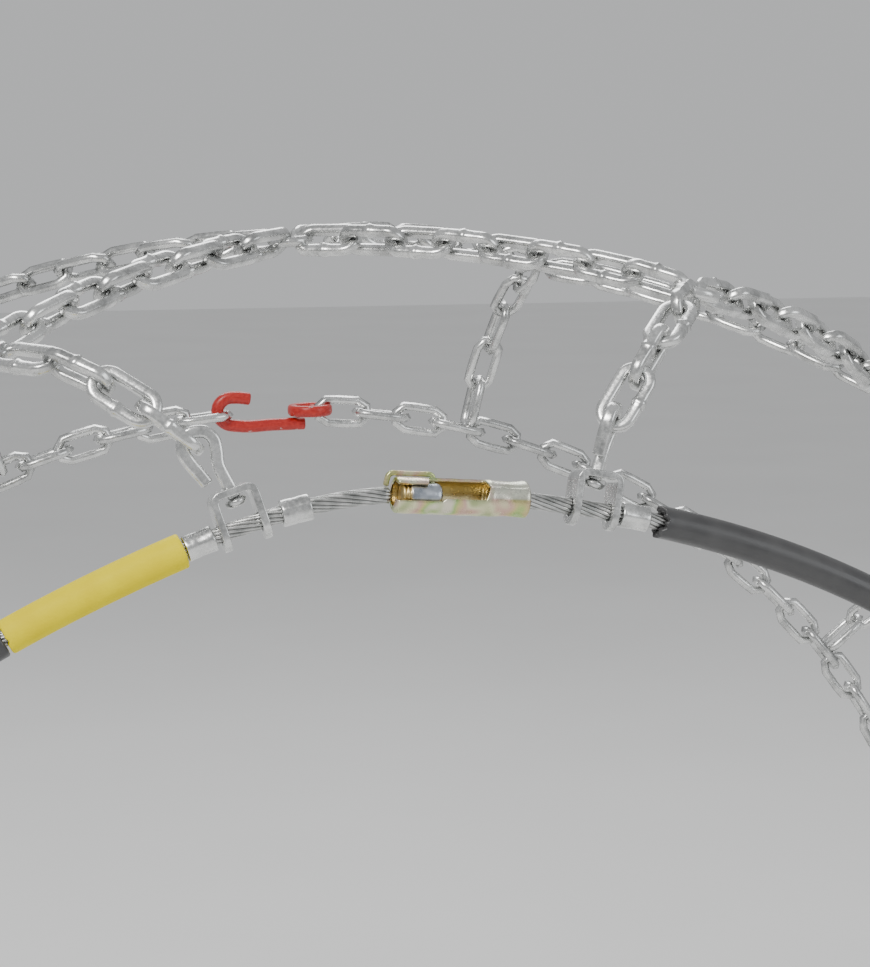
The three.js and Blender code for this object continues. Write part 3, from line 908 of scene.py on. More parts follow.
@dataclass
class ChainWork:
    """Every run of chain: the arms, the tread net, the side chain and the tension chain."""

    pitch: float = 14.0
    swinging: int = 3
    ring_wire: float = 3.4
    ring_radius: float = 5.4
    rolls: tuple = (46.0, -44.0)
    arm_rolls: tuple = (86.0, -4.0)
    side_rolls: tuple = (35.0, -55.0)

    def build(self) -> None:
        """Makes every run of links."""
        self.near_arms()
        for number in range(1, ARMS - 1):
            line = cut_line(Arm(number).line(), 0, self.swinging * self.pitch)
            links = copies(PLAIN_LINK, chain_frames(line, self.arm_rolls), seed=20 + number)
            name = f"arm_{number + 1}"
            add_piece(f"{name}_links", links, Finish.ZINC, name, [name])
        self.tread()
        self.side()
        self.tension()

    def near_arms(self) -> None:
        """Makes the links beside the coupler one by one, each on its own CAD link."""
        for side in ("left", "right"):
            for i in range(1, 4):
                name = f"{side}_arm_link_{i}"
                link = copies(FINE_LINK, [node_frame(name)], seed=40 + i + 10 * (side == "left"))
                add_piece(f"{name}_wire", link, Finish.ZINC, name, [name])

    def shoulder_frames(self, number: int) -> list[Matrix]:
        """Frames of an arm's links that lie still on the shoulder, up to its joint ring."""
        line = cut_line(Arm(number).line(), self.swinging * self.pitch)
        length = run_along(line)[-1]
        line = cut_line(line, 0, length - self.ring_radius)
        rolls = {Side.LEFT: (-4.0, 84.0), Side.RIGHT: (62.0, -28.0)}
        return chain_frames(line, rolls.get(Arm(number).side, (-4.0, 86.0)))

    def branch_frames(self, number: int, side: int, half: int) -> list[Matrix]:
        """Frames of one of the four branches of the diamond after an arm.

        Args:
            number: The arm that the diamond follows.
            side: -1 for the wheel's inner side, 1 for its outer side.
            half: 0 from this arm, 1 from the next one.

        Returns:
            Frames from the joint to the diamond's middle.
        """
        middle = arm_angle(number) + CROSS_ANGLE
        joint = arm_angle(number + half)
        y = np.linspace(JUNCTION_Y, 0, 60)
        angles = joint + (middle - joint) * (JUNCTION_Y - y) / JUNCTION_Y
        line = np.array([on_wheel(tread_radius(v), side * v, a) for v, a in zip(y, angles)])
        length = run_along(line)[-1]
        line = cut_line(line, self.ring_radius - 0.6, length - self.ring_radius + 0.6)
        return chain_frames(line, self.rolls)

    def ring(self, fine: bool) -> Shell:
        """A round joint ring in its XZ plane."""
        count, columns = (40, 14) if fine else (12, 5)
        a = -np.arange(count) / count * 2 * math.pi
        line = self.ring_radius * np.stack([np.cos(a), -np.sin(a)], -1)
        section = rounded_square(self.ring_wire / 2, columns, 3.6 if fine else 2.0)
        return flat_sweep(line, section, closed=True)

    def ring_frame(self, y: float, angle: float) -> Matrix:
        """Frame of a joint ring that lies on the tread."""
        place = on_wheel(tread_radius(y), y, angle)
        return link_frame(place - Vector((0, 1, 0)), place + Vector((0, 1, 0)), 0)

    def tread(self) -> None:
        """Makes the net on the tread, in its two lengths, with finer links where the arms meet it."""
        for length, first, last in ((1, 0, 4), (2, 5, 9)):
            far, near, rings, near_rings = [], [], [], []
            for number in range(first, last + 1):
                beside = number in (0, ARMS - 1)
                (near if beside else far).extend(self.shoulder_frames(number))
                for side in (-1, 1):
                    for half in (0, 1):
                        close = side < 0 and (number + half) % ARMS in (0, ARMS - 1)
                        (near if close else far).extend(self.branch_frames(number, side, half))
                    joint_rings = near_rings if beside and side < 0 else rings
                    joint_rings.append(self.ring_frame(side * JUNCTION_Y, arm_angle(number)))
                rings.append(self.ring_frame(0, arm_angle(number) + CROSS_ANGLE))
            shells = [copies(FAR_LINK, far, seed=60 + length), copies(self.ring(False), rings, seed=62)]
            node = f"tread_chain_{length}"
            add_piece(f"{node}_links", joined(shells), Finish.ZINC, "root", [node])
            fine = [copies(FINE_LINK, near, seed=64 + length), copies(self.ring(True), near_rings, seed=66)]
            add_piece(f"{node}_near_links", joined(fine), Finish.ZINC, "root", [node])

    def side(self) -> None:
        """Makes the side chain and the ten outer arms."""
        angles = np.linspace(2.9, 355.2, 900)
        line = np.array([on_wheel(SIDE_RADIUS, SIDE_Y, a) for a in angles])
        frames = chain_frames(line, self.side_rolls, 13.9)
        rows = [(y, r) for y, r in TREAD_PROFILE if y > JUNCTION_Y + 5 and r > SIDE_RADIUS]
        for number in range(ARMS):
            angle = arm_angle(number)
            places = [on_wheel(tread_radius(79), 79, angle)]
            places += [on_wheel(r, y, angle) for y, r in rows]
            places.append(on_wheel(SIDE_RADIUS + 2, SIDE_Y, angle))
            frames += chain_frames(smooth_line(np.array(places), 120), self.arm_rolls)
        links = copies(FAR_LINK, frames, seed=71)
        add_piece("side_chain_links", links, Finish.ZINC, "root", ["side_chain"])

    def tension(self) -> None:
        """Makes the tension chain."""
        links = copies(PLAIN_LINK, chain_frames(np.array(tension_ends()), self.rolls), seed=72)
        add_piece("tension_chain_links", links, Finish.ZINC, "tension_chain", ["tension_chain"])


# ---------------------------------------------------------------- hoop


@dataclass
class Cable:
    """Galvanised cable of twelve outer wires, laid up right-handed.

    Attributes:
        radius: Radius over the wires.
        wire: Radius of one outer wire.
        wires: Outer wires.
        lay: Length in which a wire goes once round.
    """

    radius: float = 2.25
    wire: float = 0.5
    wires: int = 12
    lay: float = 52.0

    def shell(self, angles: np.ndarray) -> Shell:
        """Makes the cable over wheel angles.

        Its section is the outline of the outer wires: at an angle d from a wire's middle, the radius is
        c cos d + sqrt(w^2 - (c sin d)^2), with c the circle of the wires' middles and w their radius.
        """
        columns = self.wires * 6
        step = 2 * math.pi / self.wires
        phi = np.arange(columns) / columns * 2 * math.pi
        d = (phi + step / 2) % step - step / 2
        circle = self.radius - self.wire
        r = circle * np.cos(d) + np.sqrt(np.maximum(self.wire**2 - (circle * np.sin(d)) ** 2, 0.0))
        run = np.radians(angles) * HOOP_RUN
        around = phi[None, :] + (run / self.lay * 2 * math.pi)[:, None]
        radii = np.tile(r, (len(angles), 1))
        radii[[0, -1]] = 0.0
        # painted shade, darkest in the valleys between the outer wires
        groove = np.tile(np.clip((self.radius - r) / 0.3, 0, 1) ** 1.6, len(angles))
        shell = grid_shell(hoop_tube(angles, radii, around), close_columns=True)
        return shell.tagged("groove", groove).welded()


@dataclass
class Hose:
    """A soft tube round the cable, with torn or cut ends.

    Attributes:
        name: Name of the piece.
        node: CAD node that it stands for.
        start: Wheel angle of its first end.
        end: Wheel angle of its last end.
        finish: Its finish.
        radius: Outer radius.
        fray_start: How far its first end is torn.
        fray_end: How far its last end is torn.
        seed: Seed of its tears and waves.
    """

    name: str
    node: str
    start: float
    end: float
    finish: Finish
    radius: float = 4.5
    fray_start: float = 0.12
    fray_end: float = 0.12
    seed: int = 1

    def build(self) -> bpy.types.Object:
        """Makes the tube's outside, its rounded ends and its bore.

        A torn end's edge is a sum of waves round the tube, and each row near the end follows it less the
        further it is from the end. The outside also swells and sinks by a few hundredths along it.
        """
        rng = np.random.default_rng(self.seed)
        columns = 48
        phi = np.arange(columns) / columns * 2 * math.pi
        orders = np.arange(2, 15)
        tears = []
        for _ in range(2):
            size = rng.normal(size=len(orders)) / np.sqrt(orders)
            phase = rng.random(len(orders)) * 2 * math.pi
            wave = (size[:, None] * np.cos(orders[:, None] * phi + phase[:, None])).sum(0)
            tears.append(wave / np.abs(wave).max())
        length = math.radians(self.end - self.start) * HOOP_RUN
        steps = max(12, int(length / 3.0))
        lip = np.array([0.0, 0.12, 0.45, 1.2, 2.4, 4.0])
        s = np.concatenate([lip, np.linspace(6.0, length - 6.0, steps), length - lip[::-1]])
        near = np.minimum(s, length - s)
        radii = self.radius - 0.45 * np.clip(1 - near / 0.45, 0, 1) ** 2
        waves = sum(
            rng.normal() * np.cos(s[:, None] / (6.0 + 5 * i) + i * phi[None, :] + rng.random() * 6)
            for i in range(1, 5)
        )
        outside = radii[:, None] + 0.035 * waves
        follow_start = self.fray_start * np.exp(-((s / 2.2) ** 2))[:, None] * (1 + tears[0])[None, :]
        follow_end = self.fray_end * np.exp(-(((length - s) / 2.2) ** 2))[:, None] * (1 + tears[1])[None, :]
        place = s[:, None] + follow_start - follow_end
        lift_start = self.fray_start * np.exp(-s / 1.2)[:, None] * tears[0][::-1][None, :]
        lift_end = self.fray_end * np.exp(-(length - s) / 1.2)[:, None] * tears[1][::-1][None, :]
        lift = 0.16 * (lift_start + lift_end)
        radii_all = np.concatenate([outside + lift, np.full(place.shape, 2.9)])
        place_all = np.concatenate([place, place[::-1]])
        angles = self.start + np.degrees(place_all / HOOP_RUN)
        around = np.tile(phi, (len(radii_all), 1))
        shell = grid_shell(hoop_tube(angles, radii_all, around), close_rows=True, close_columns=True)
        shell.tagged("cosine", np.cos(around).ravel()).tagged("sine", np.sin(around).ravel())
        shell.tagged("along", place_all.ravel())
        return add_piece(self.name, shell, self.finish, "root", [self.node])


@dataclass
class Ferrule:
    """A short sleeve crimped on the cable to six flats, round at its ends."""

    radius: float = 3.55
    length: float = 8.0
    bore: float = 2.28

    def build(self, name: str, angle: float, turn: float) -> bpy.types.Object:
        """Makes the sleeve.

        Its radius at an angle is that of a circle, mixed near the middle with that of a hexagon with
        rounded corners, and the ends roll in to the bore.
        """
        columns = 48
        phi = np.arange(columns) / columns * 2 * math.pi
        out = np.array([0.25, 0.5, 0.7, 0.86, 0.95, 0.985, 1, 1])
        x = np.concatenate([-out[::-1], [0], out])
        lip = np.array([1, 1, 1, 1, 0.97, 0.92, 0.83, self.bore / self.radius])
        edge = np.concatenate([lip[::-1], [1], lip])
        d = (phi + turn + math.pi / 6) % (math.pi / 3) - math.pi / 6
        hexagon = (0.92 / np.cos(d) ** 0.8)[None, :]
        share = 0.6 * np.clip((0.93 - np.abs(x)) / 0.2, 0, 1)[:, None] ** 0.7
        waist = 1 - 0.035 * np.exp(-((x / 0.16) ** 2))[:, None]
        radii = self.radius * edge[:, None] * ((1 - share) + share * hexagon) * waist
        points = np.stack(
            [
                np.broadcast_to(x[:, None] * self.length / 2, radii.shape),
                -radii * np.sin(phi)[None, :],
                radii * np.cos(phi)[None, :],
            ],
            -1,
        )
        shell = grid_shell(points, close_rows=True, close_columns=True).moved(hoop_frame(angle))
        return add_piece(f"{name}_crimp", shell.tagged("shade", 0.8), Finish.ZINC, "root", [name])


@dataclass
class Hoop:
    """The inner hoop: cable, sheath lengths, marker sleeve and ferrules.

    Attributes:
        clear: Angle between a bracket's middle and the sheath's end beside it.
        sheath: Wheel angles of the grey sheath's torn end and of its end at the marker sleeve.
        marker: Wheel angles of the marker sleeve's ends.
        left_cable: Wheel angles of the left cable's bare stretch.
        right_cable: Wheel angles of the right cable's ends.
        fine_step: Wheel angle between the cable's rows where it shows beside the coupler.
    """

    clear: float = math.degrees(7.1 / HOOP_RADIUS)
    sheath: tuple = (12.0, 332.7)
    marker: tuple = (-27.2, -16.15)
    left_cable: tuple = (-19.0, -3.7)
    right_cable: tuple = (2.05, 15.5)
    fine_step: float = 0.28

    def cable_angles(self) -> np.ndarray:
        """Wheel angles of the long cable's rows: close where it shows, and wide inside the sheath."""
        rows = [np.arange(*self.left_cable, self.fine_step) + 360.0]
        for number in range(1, ARMS - 1):
            middle = arm_angle(number)
            rows.append(np.arange(middle - 2.2, middle + 2.21, 0.3))
        rows.append(np.arange(18.7, 341.0, 1.1))
        angles = np.unique(np.round(np.concatenate(rows), 3))
        return angles[np.concatenate([[True], np.diff(angles) > 0.12])]

    def build(self) -> None:
        """Makes everything on the hoop but the coupler and the brackets."""
        cable = Cable()
        add_piece("cable_strand", cable.shell(self.cable_angles()), Finish.CABLE, "root", ["hoop_cable"])
        right = cable.shell(np.arange(*self.right_cable, self.fine_step))
        add_piece("cable_right_strand", right, Finish.CABLE, "coupler", ["cable_right_end"])
        for number in range(ARMS - 1):
            start = self.sheath[0] if number == 0 else arm_angle(number) + self.clear
            end = self.sheath[1] if number == ARMS - 2 else arm_angle(number + 1) - self.clear
            torn = 1.7 if number == 0 else 0.15
            name = f"sheath_{number + 1}"
            Hose(f"{name}_skin", name, start, end, Finish.GREY_VINYL, 4.5, torn, 0.15, 5 + number).build()
        yellow = (Finish.YELLOW_VINYL, 4.65, 0.3, 0.12, 31)
        Hose("marker_skin", "marker_sleeve", *self.marker, *yellow).build()
        Ferrule().build("ferrule_outer_left", -15.2, 0.2)
        Ferrule().build("ferrule_inner_left", -9.5, 0.45)
        Ferrule(bore=2.65).build("ferrule_right", 10.7, 0.1)


# ---------------------------------------------------------------- brackets and swivel eyes


def thickened(sheet: Shell, bend: Callable[[np.ndarray, np.ndarray], np.ndarray], thick: float) -> Shell:
    """Gives a flat sheet its thickness and bends it.

    Args:
        sheet: Points (u, v, 0), with faces that turn left.
        bend: Takes (n, 2) of u and v and (n,) of height over the middle, and returns (n, 3).
        thick: Thickness of the sheet.

    Returns:
        The closed plate, with walls along every free edge of the sheet.
    """
    uv, count = sheet.points[:, :2], len(sheet.points)
    half = np.full(count, thick / 2)
    edges = np.concatenate(
        [np.stack([f, np.roll(f, -1, axis=1)], -1).reshape(-1, 2) for f in sheet.faces]
    )
    there, back = edges @ (count, 1), edges[:, ::-1] @ (count, 1)
    free = edges[~np.isin(back, there)]
    walls = np.stack([free[:, 0] + count, free[:, 1] + count, free[:, 1], free[:, 0]], -1)
    faces = [*sheet.faces, *(f[:, ::-1] + count for f in sheet.faces), walls]
    return Shell(np.concatenate([bend(uv, half), bend(uv, -half)]), faces)


def between_loops(inner: np.ndarray, outer: np.ndarray, rings: int) -> Shell:
    """Fills the flat space between a hole and an outline with rings of quads.

    Args:
        inner: (n, 2) points round the hole, turning left.
        outer: (n, 2) points round the outline, one for each of the hole's.
        rings: Rings of quads.

    Returns:
        A shell whose faces turn left.
    """
    share = np.linspace(0, 1, rings + 1)[:, None, None]
    points = inner[None] * (1 - share) + outer[None] * share
    points = np.concatenate([points, np.zeros((*points.shape[:2], 1))], -1)
    return grid_shell(points, close_columns=True).flipped()


def hole_in(outline: np.ndarray, centre: tuple[float, float], radius: float) -> Shell:
    """Fills an outline round a round hole, with each of the outline's points facing one of the hole's."""
    away = outline - np.array(centre)
    around = away / np.linalg.norm(away, axis=1)[:, None]
    return between_loops(np.array(centre) + radius * around, outline, 4)


@dataclass
class Bracket:
    """A strap bent to a U over the cable, with a hole for the cable in each leg and one in its web.

    Attributes:
        width: Width over the legs.
        strap: Thickness.
        depth: Size along the axle.
        rise: Top of the web over the cable.
        drop: Ends of the legs under the cable.
        corner: Outer radius of the bends.
        cable_hole: Radius of the holes in the legs.
        web_hole: Radius of the hole in the web.
    """

    width: float = 13.0
    strap: float = 2.0
    depth: float = 9.0
    rise: float = 10.6
    drop: float = 5.0
    corner: float = 3.0
    cable_hole: float = 2.75
    web_hole: float = 2.3

    def lengths(self) -> tuple[float, float, float]:
        """Lengths of a straight leg, a bend's middle line and the straight of the web."""
        arc = (self.corner - self.strap / 2) * math.pi / 2
        return self.rise - self.corner + self.drop, arc, self.width - 2 * self.corner

    def bend(self, uv: np.ndarray, height: np.ndarray) -> np.ndarray:
        """Bends the flat strap: straight leg, quarter circle, web, quarter circle, straight leg."""
        leg, arc, web = self.lengths()
        radius = self.corner - self.strap / 2
        u, v = uv[:, 0], uv[:, 1]
        side = np.where(u < leg + arc + web / 2, 1.0, -1.0)
        t = np.where(side > 0, u, 2 * leg + 2 * arc + web - u)
        a = np.clip((t - leg) / radius, 0, math.pi / 2)
        along = np.clip(t - leg - arc, 0, None)
        x = -self.width / 2 + self.corner + along - (radius + height) * np.cos(a)
        z = np.minimum(t, leg) - self.drop + (radius + height) * np.sin(a)
        return np.stack([x * side, -v, z], -1)

    def shell(self) -> Shell:
        """Makes the strap."""
        leg, arc, web = self.lengths()
        total = 2 * (leg + arc) + web
        half = self.depth / 2
        v = np.linspace(-half, half, 9)
        turn = np.linspace(math.pi / 2, 3 * math.pi / 2, 15)
        tip = np.stack([half + half * np.cos(turn), half * np.sin(turn)], -1)
        far = 9.6  # length of the leg's end that its cable hole is cut in
        reach = 3.6  # how far the web hole's patch runs from the web's middle
        low = np.stack([np.linspace(half, far, 5)[1:-1], np.full(3, -half)], -1)
        end = np.stack([np.full(9, far), v], -1)
        high = np.stack([np.linspace(far, half, 5)[1:-1], np.full(3, half)], -1)
        outline = np.concatenate([tip, low, end, high])
        foot = hole_in(outline, (self.drop, 0.0), self.cable_hole)
        middle = total / 2
        u = np.linspace(far, middle - reach, 9)
        strip = np.stack([*np.meshgrid(u, v, indexing="ij"), np.zeros((9, 9))], -1)
        run = grid_shell(strip).flipped()
        box = np.concatenate(
            [
                np.stack([np.full(9, middle + reach), v], -1)[:-1],
                np.stack([np.linspace(middle + reach, middle - reach, 7), np.full(7, half)], -1)[:-1],
                np.stack([np.full(9, middle - reach), v[::-1]], -1)[:-1],
                np.stack([np.linspace(middle - reach, middle + reach, 7), np.full(7, -half)], -1)[:-1],
            ]
        )
        crown = hole_in(box, (middle, 0.0), self.web_hole)
        over = Matrix.Translation((total, 0, 0)) @ Matrix.Rotation(math.pi, 4, "Z")
        sheet = joined([foot, run, crown, foot.moved(over), run.moved(over)]).welded()
        return thickened(sheet, self.bend, self.strap)

    def build(self, arm: Arm) -> bpy.types.Object:
        """Makes one arm's bracket, with its edges rounded."""
        name = f"bracket_{arm.number + 1}"
        shell = self.shell().moved(arm.bracket_frame()).tagged("shade", 0.35)
        piece = add_piece(f"{name}_strap", shell, Finish.ZINC, name, [name])
        round_edges(piece, 0.38, 50)
        return piece


@dataclass
class SwivelEye:
    """A hook of thick wire, almost closed, whose shank is riveted through a bracket's web."""

    half: float = 1.72
    knots: tuple = (
        (0.0, -2.9),
        (0.0, 0.5),
        (-0.1, 3.2),
        (0.0, 6.6),
        (1.1, 9.8),
        (1.75, 12.9),
        (0.9, 15.2),
        (-1.2, 16.6),
        (-3.6, 16.9),
        (-5.6, 15.7),
        (-6.7, 13.4),
        (-6.5, 10.6),
        (-5.6, 7.0),
        (-4.7, 3.3),
    )

    def shell(self) -> Shell:
        """Sweeps the wire and adds the domed head with its punch mark."""
        line = smooth_line(np.array(self.knots), 84)
        share = np.linspace(0, 1, 84)
        size = 1 + 0.03 * np.sin(share * 17.0) - 0.05 * np.exp(-(((share - 0.46) / 0.08) ** 2))
        wire = flat_sweep(line, rounded_square(self.half, 24, 4.6), size)
        head = [(0, -4.6), (0.5, -4.6), (0.95, -4.75), (1.25, -5.05), (1.7, -5.2), (2.2, -5.0), (2.7, -4.5)]
        head += [(2.95, -3.9), (2.8, -3.3), (2.3, -3.05), (0, -3.0)]
        return joined([wire, turned(head, 32)])

    def build(self, arm: Arm) -> bpy.types.Object:
        """Makes one arm's swivel eye."""
        name = f"swivel_eye_{arm.number + 1}"
        shell = self.shell().moved(arm.eye_frame()).tagged("shade", 0.7)
        return add_piece(f"{name}_wire", shell, Finish.ZINC, name, [name])


# ---------------------------------------------------------------- coupler


@dataclass
class Coupler:
    """Rolled sheet-metal sleeve that the hoop's plug snaps into through a window.

    Attributes:
        half: Half of its length.
        radius: Outer radius.
        wall: Thickness of its sheet.
        angle: Wheel angle of its middle.
        low: How far it hangs under the cable's line.
        lean: Its turn about the axle in degrees; a negative one lowers its left end.
    """

    half: float = 18.25
    radius: float = 4.8
    wall: float = 1.0
    angle: float = 0.1
    low: float = 0.65
    lean: float = -0.8

    @staticmethod
    def step(x: np.ndarray, at: float, over: float) -> np.ndarray:
        """A smooth step from 0 to 1 at a place, over a length."""
        t = np.clip((x - at) / over + 0.5, 0, 1)
        return t * t * (3 - 2 * t)

    def sleeve(self) -> Shell:
        """Makes the sheet, open at the top front left of the closed tube.

        Angles are counted from the front up over the top to the back. The open span closes over a
        millimetre at the window's right end, the back wall folds forward over the plug as a flap, and the
        closed tube has a waist between the window and a rolled flange.
        """
        ends = np.array([self.half, self.half])
        x = np.concatenate([-ends, np.linspace(0.2 - self.half, self.half - 0.2, 150), ends])
        closed = self.step(x, 6.6, 1.7)
        flap = self.step(x, -17.7, 0.5) * (1 - self.step(x, -9.2, 0.7))
        seat = 1 - self.step(x, -5.4, 1.2)
        top = np.radians(98 - 45 * flap - (98 - 46.5) * closed)
        front = np.radians(-0.5 - 10 * seat + 46.5 * closed)
        columns = 60
        share = np.linspace(0, 1, columns)
        phi = top[:, None] + (2 * math.pi + front - top)[:, None] * share
        outer = self.radius + 0 * x
        outer -= 0.2 * np.exp(-(((x - 12.4) / 2.6) ** 2))
        outer += 0.14 * np.exp(-(((x - 16.9) / 0.8) ** 2)) + 0.1 * np.exp(-(((x - 7.6) / 0.6) ** 2))
        outer -= 0.9 * np.clip((np.abs(x) - 17.45) / 0.8, 0, 1) ** 2
        bore = outer - self.wall
        bore = bore + (2.75 - bore) * self.step(x, 7.4, 0.8)
        crimp = 0.1 * np.exp(-(((x - 11.4) / 2.6) ** 2))[:, None] * np.cos(6 * phi)
        outside = outer[:, None] + crimp + 0.035 * np.sin(1.3 * x[:, None] + 3 * phi)
        inside = np.broadcast_to(bore[:, None], phi.shape)
        outside[[0, -1]] = inside[[0, -1]]
        radii = np.concatenate([outside, inside[:, ::-1]], 1)
        around = np.concatenate([phi, phi[:, ::-1]], 1)
        places = np.broadcast_to(x[:, None], radii.shape)
        points = np.stack([places, -radii * np.cos(around), radii * np.sin(around)], -1)
        shell = grid_shell(points, close_columns=True).flipped()
        gold = np.zeros_like(radii)
        gold[:, columns:] = 1.0
        low = np.sin(around[:, :columns]) < 0.1
        gold[:, :columns] = np.where(low, 0.5, 0.3 - 0.25 * self.step(x, 7.5, 2.0)[:, None])
        return shell.tagged("gilt", gold.ravel()).welded()

    def bail(self) -> Shell:
        """Makes the bar that bridges the plug's seat along its back, with a leg down at each end."""
        knots = [(-20.0, 2.0), (-19.75, 3.6), (-19.35, 4.9), (-18.7, 5.42), (-17.0, 5.5), (-13.0, 5.5)]
        knots += [(-9.3, 5.5), (-8.1, 5.45), (-7.55, 5.0), (-7.5, 3.8), (-7.6, 1.6)]
        wire = flat_sweep(smooth_line(np.array(knots), 90), rounded_square(0.66, 16, 6.0) * (1.0, 1.15))
        return wire.moved(Matrix.Translation((0, 1.7, 0))).tagged("gilt", 0.62)

    def plug(self) -> Shell:
        """Makes the cable's plug: rolled ridges on the left, a smooth barrel with a rounded right end."""
        profile = [(0, -16.35), (2.3, -16.35), (3.1, -16.1), (3.3, -15.75), (3.1, -15.4), (2.7, -15.2)]
        profile += [(3.1, -15.0), (3.35, -14.7), (3.1, -14.35), (2.8, -14.2), (3.2, -14.0), (3.4, -13.7)]
        profile += [(3.45, -13.2), (3.45, -10.0), (3.45, -7.0), (3.36, -6.3), (3.05, -5.75), (2.4, -5.4)]
        profile += [(1.1, -5.22), (0, -5.2)]
        made = turned(profile, 48)
        gilt = np.clip((-13.6 - made.points[:, 2]) / 0.5, 0, 1)
        return made.tagged("gilt", gilt).moved(Matrix.Rotation(math.pi / 2, 4, "Y"))

    def build(self) -> None:
        """Makes the coupler's pieces."""
        lower = Matrix.Translation((0, 0, -self.low)) @ Matrix.Rotation(math.radians(self.lean), 4, "Y")
        place = hoop_frame(self.angle) @ lower
        for name, shell in (("coupler_sleeve", self.sleeve()), ("coupler_bail", self.bail())):
            add_piece(name, shell.moved(place), Finish.YELLOW_ZINC, "coupler", ["coupler_housing"])
        plug = self.plug().moved(place)
        made = add_piece("cable_plug", plug, Finish.ZINC, "root", ["coupler_plug"])
        made.data.materials[0] = PlugSteel().material()


# ---------------------------------------------------------------- outer side


def ring_eye(outer: float, inner: float, half: float) -> Shell:
    """A flat ring about Z with rounded edges.

    Args:
        outer: Outer radius.
        inner: Radius of its hole.
        half: Half of its height.

    Returns:
        The closed ring.
    """
    middle, width = (outer + inner) / 2, (outer - inner) / 2
    section = rounded_square(1.0, 16, 3.4) * (width, half)
    a = np.arange(48) / 48 * 2 * math.pi
    radii = middle + section[None, :, 0]
    x, y = radii * np.cos(a)[:, None], radii * np.sin(a)[:, None]
    z = np.broadcast_to(section[None, :, 1], x.shape)
    return grid_shell(np.stack([x, y, z], -1), close_rows=True, close_columns=True).flipped()


@dataclass
class OuterFittings:
    """Closing hook, tension lock with its cam, and the tension chain's hook, on the outer side."""

    def closing_hook(self) -> None:
        """Makes the red hook that closes the side chain, with its ring eye."""
        knots = [(10, -4.6), (-1, -4.6), (-13, -4.6), (-17.6, -3.6), (-20.1, -0.9), (-19.9, 2.6)]
        knots += [(-17.4, 4.9), (-13.5, 5.2), (-9, 4.6)]
        wire = flat_sweep(smooth_line(np.array(knots), 90), rounded_square(2.15, 20, 2.4))
        eye = ring_eye(7.7, 4.3, 1.95).moved(Matrix.Translation((12, 0, 0)))
        angle = -0.75
        place = Matrix.Translation(on_wheel(SIDE_RADIUS, SIDE_Y, angle))
        place = place @ Matrix.Rotation(math.radians(angle), 4, "Y")
        shell = joined([wire, eye]).moved(place)
        add_piece("closing_hook_body", shell, Finish.RED, "closing_hook", ["closing_hook"])

    def tension_hook(self) -> None:
        """Makes the hook at the tension chain's end."""
        start, end = tension_ends()
        run = (end - start).normalized()
        turn = np.radians(np.arange(-60, 151, 15))
        bend = np.stack([6 + 6.2 * np.cos(turn), 6.2 * (1 + np.sin(turn))], -1)
        knots = np.concatenate([[(0, 0), (3, 0), (6, 0)], bend])
        wire = flat_sweep(smooth_line(knots, 70), rounded_square(1.95, 18, 2.4))
        place = Matrix.Translation(end + run * 3.2)
        place = place @ Matrix.Rotation(math.atan2(-run.z, run.x), 4, "Y")
        add_piece("tension_hook_body", wire.moved(place), Finish.RED, "tension_hook", ["tension_hook"])

    def bevelled(self, node: str, width: float, finish: Finish, body: str) -> bpy.types.Object:
        """Makes a piece from a CAD node's mesh, with its corners rounded.

        Args:
            node: The CAD node.
            width: Size of the rounding.
            finish: The piece's finish.
            body: Body that it rides on.

        Returns:
            The piece.
        """
        corners = np.array([tuple(face.vertices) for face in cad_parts[node].data.polygons])
        shell = Shell(node_points(node), [corners]).welded()
        piece = add_piece(f"{node}_body", shell.tagged("shade", 0.5), finish, body, [node])
        flat = piece.modifiers.new("flats", "DECIMATE")
        flat.decimate_type = "DISSOLVE"
        flat.angle_limit = math.radians(2)
        round_edges(piece, width, 40)
        return piece

    def build(self) -> None:
        """Makes the outer side's fittings."""
        self.closing_hook()
        self.tension_hook()
        self.bevelled("tension_lock", 0.5, Finish.ZINC, "root")
        self.bevelled("lock_cam", 0.4, Finish.RED, "lock_cam")


# ---------------------------------------------------------------- studio


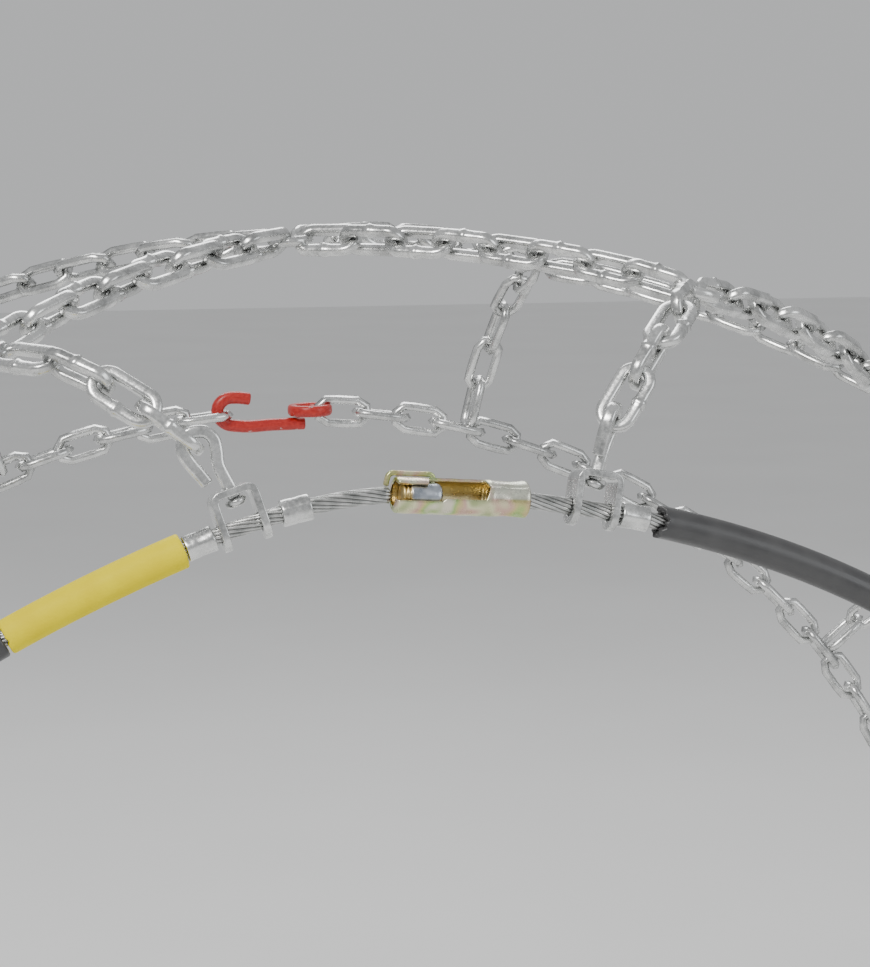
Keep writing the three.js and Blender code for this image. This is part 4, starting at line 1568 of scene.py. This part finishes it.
@dataclass
class Studio:
    """Plain pale floor, soft lights and the camera, in metres.

    Attributes:
        floor_z: Height of the floor.
        floor_half: Half of the floor's side.
        lens: Focal length in millimetres.
        eye: The camera's place.
        down: How far it looks down, in radians.
        right: How far it looks right of the axle's direction, in radians.
    """

    floor_z: float = -0.3305
    floor_half: float = 9.0
    lens: float = 96.4
    eye: tuple = (-0.180, -0.759, 0.359)
    down: float = 0.137
    right: float = 0.262

    def floor(self) -> None:
        """Lays a wide floor that the chain stands just above."""
        mesh = bpy.data.meshes.new("floor")
        half = self.floor_half
        corners = [(-half, -half), (half, -half), (half, half), (-half, half)]
        mesh.from_pydata([(x, y, self.floor_z) for x, y in corners], [], [(0, 1, 2, 3)])
        plane = bpy.data.objects.new("floor", mesh)
        bpy.context.scene.collection.objects.link(plane)
        mesh.materials.append(PaleFloor().material())

    def light(self, name: str, place: tuple, size: float, power: float, colour: tuple) -> None:
        """Hangs a square area light that faces the coupler."""
        data = bpy.data.lights.new(name, "AREA")
        data.size = size
        data.energy = power
        data.color = colour
        lamp = bpy.data.objects.new(name, data)
        lamp.location = place
        aim = Vector((0.0, -0.1, 0.2)) - lamp.location
        lamp.rotation_euler = aim.to_track_quat("-Z", "Y").to_euler()
        bpy.context.scene.collection.objects.link(lamp)

    def camera(self) -> None:
        """Places the camera on the inner side, above and left of the coupler."""
        data = bpy.data.cameras.new("camera")
        data.lens = self.lens
        data.sensor_width = 36.0
        data.clip_start = 0.02
        made = bpy.data.objects.new("camera", data)
        made.location = self.eye
        made.rotation_euler = (math.pi / 2 - self.down, 0.0, -self.right)
        bpy.context.scene.collection.objects.link(made)
        bpy.context.scene.camera = made

    def build(self) -> None:
        """Sets up the studio."""
        self.floor()
        self.camera()
        self.light("key", (-1.1, -1.3, 1.7), 0.8, 38.0, (1.0, 0.985, 0.96))
        self.light("fill", (1.6, -1.5, 0.9), 1.2, 10.0, (0.95, 0.98, 1.0))
        self.light("back", (0.3, 1.6, 1.8), 1.2, 24.0, (1.0, 1.0, 1.0))
        world = bpy.data.worlds.new("studio")
        world.use_nodes = True
        background = world.node_tree.nodes["Background"].inputs
        background["Color"].default_value = (0.86, 0.87, 0.88, 1.0)
        background["Strength"].default_value = 0.62
        bpy.context.scene.world = world


def main() -> None:
    """Builds every piece on its body."""
    logging.basicConfig(level=logging.INFO, format="%(name)s: %(message)s")
    Studio().build()
    ChainWork().build()
    Hoop().build()
    bracket, eye = Bracket(), SwivelEye()
    for number in range(ARMS):
        bracket.build(Arm(number))
        eye.build(Arm(number))
    Coupler().build()
    OuterFittings().build()


if __name__ == "__main__":
    main()
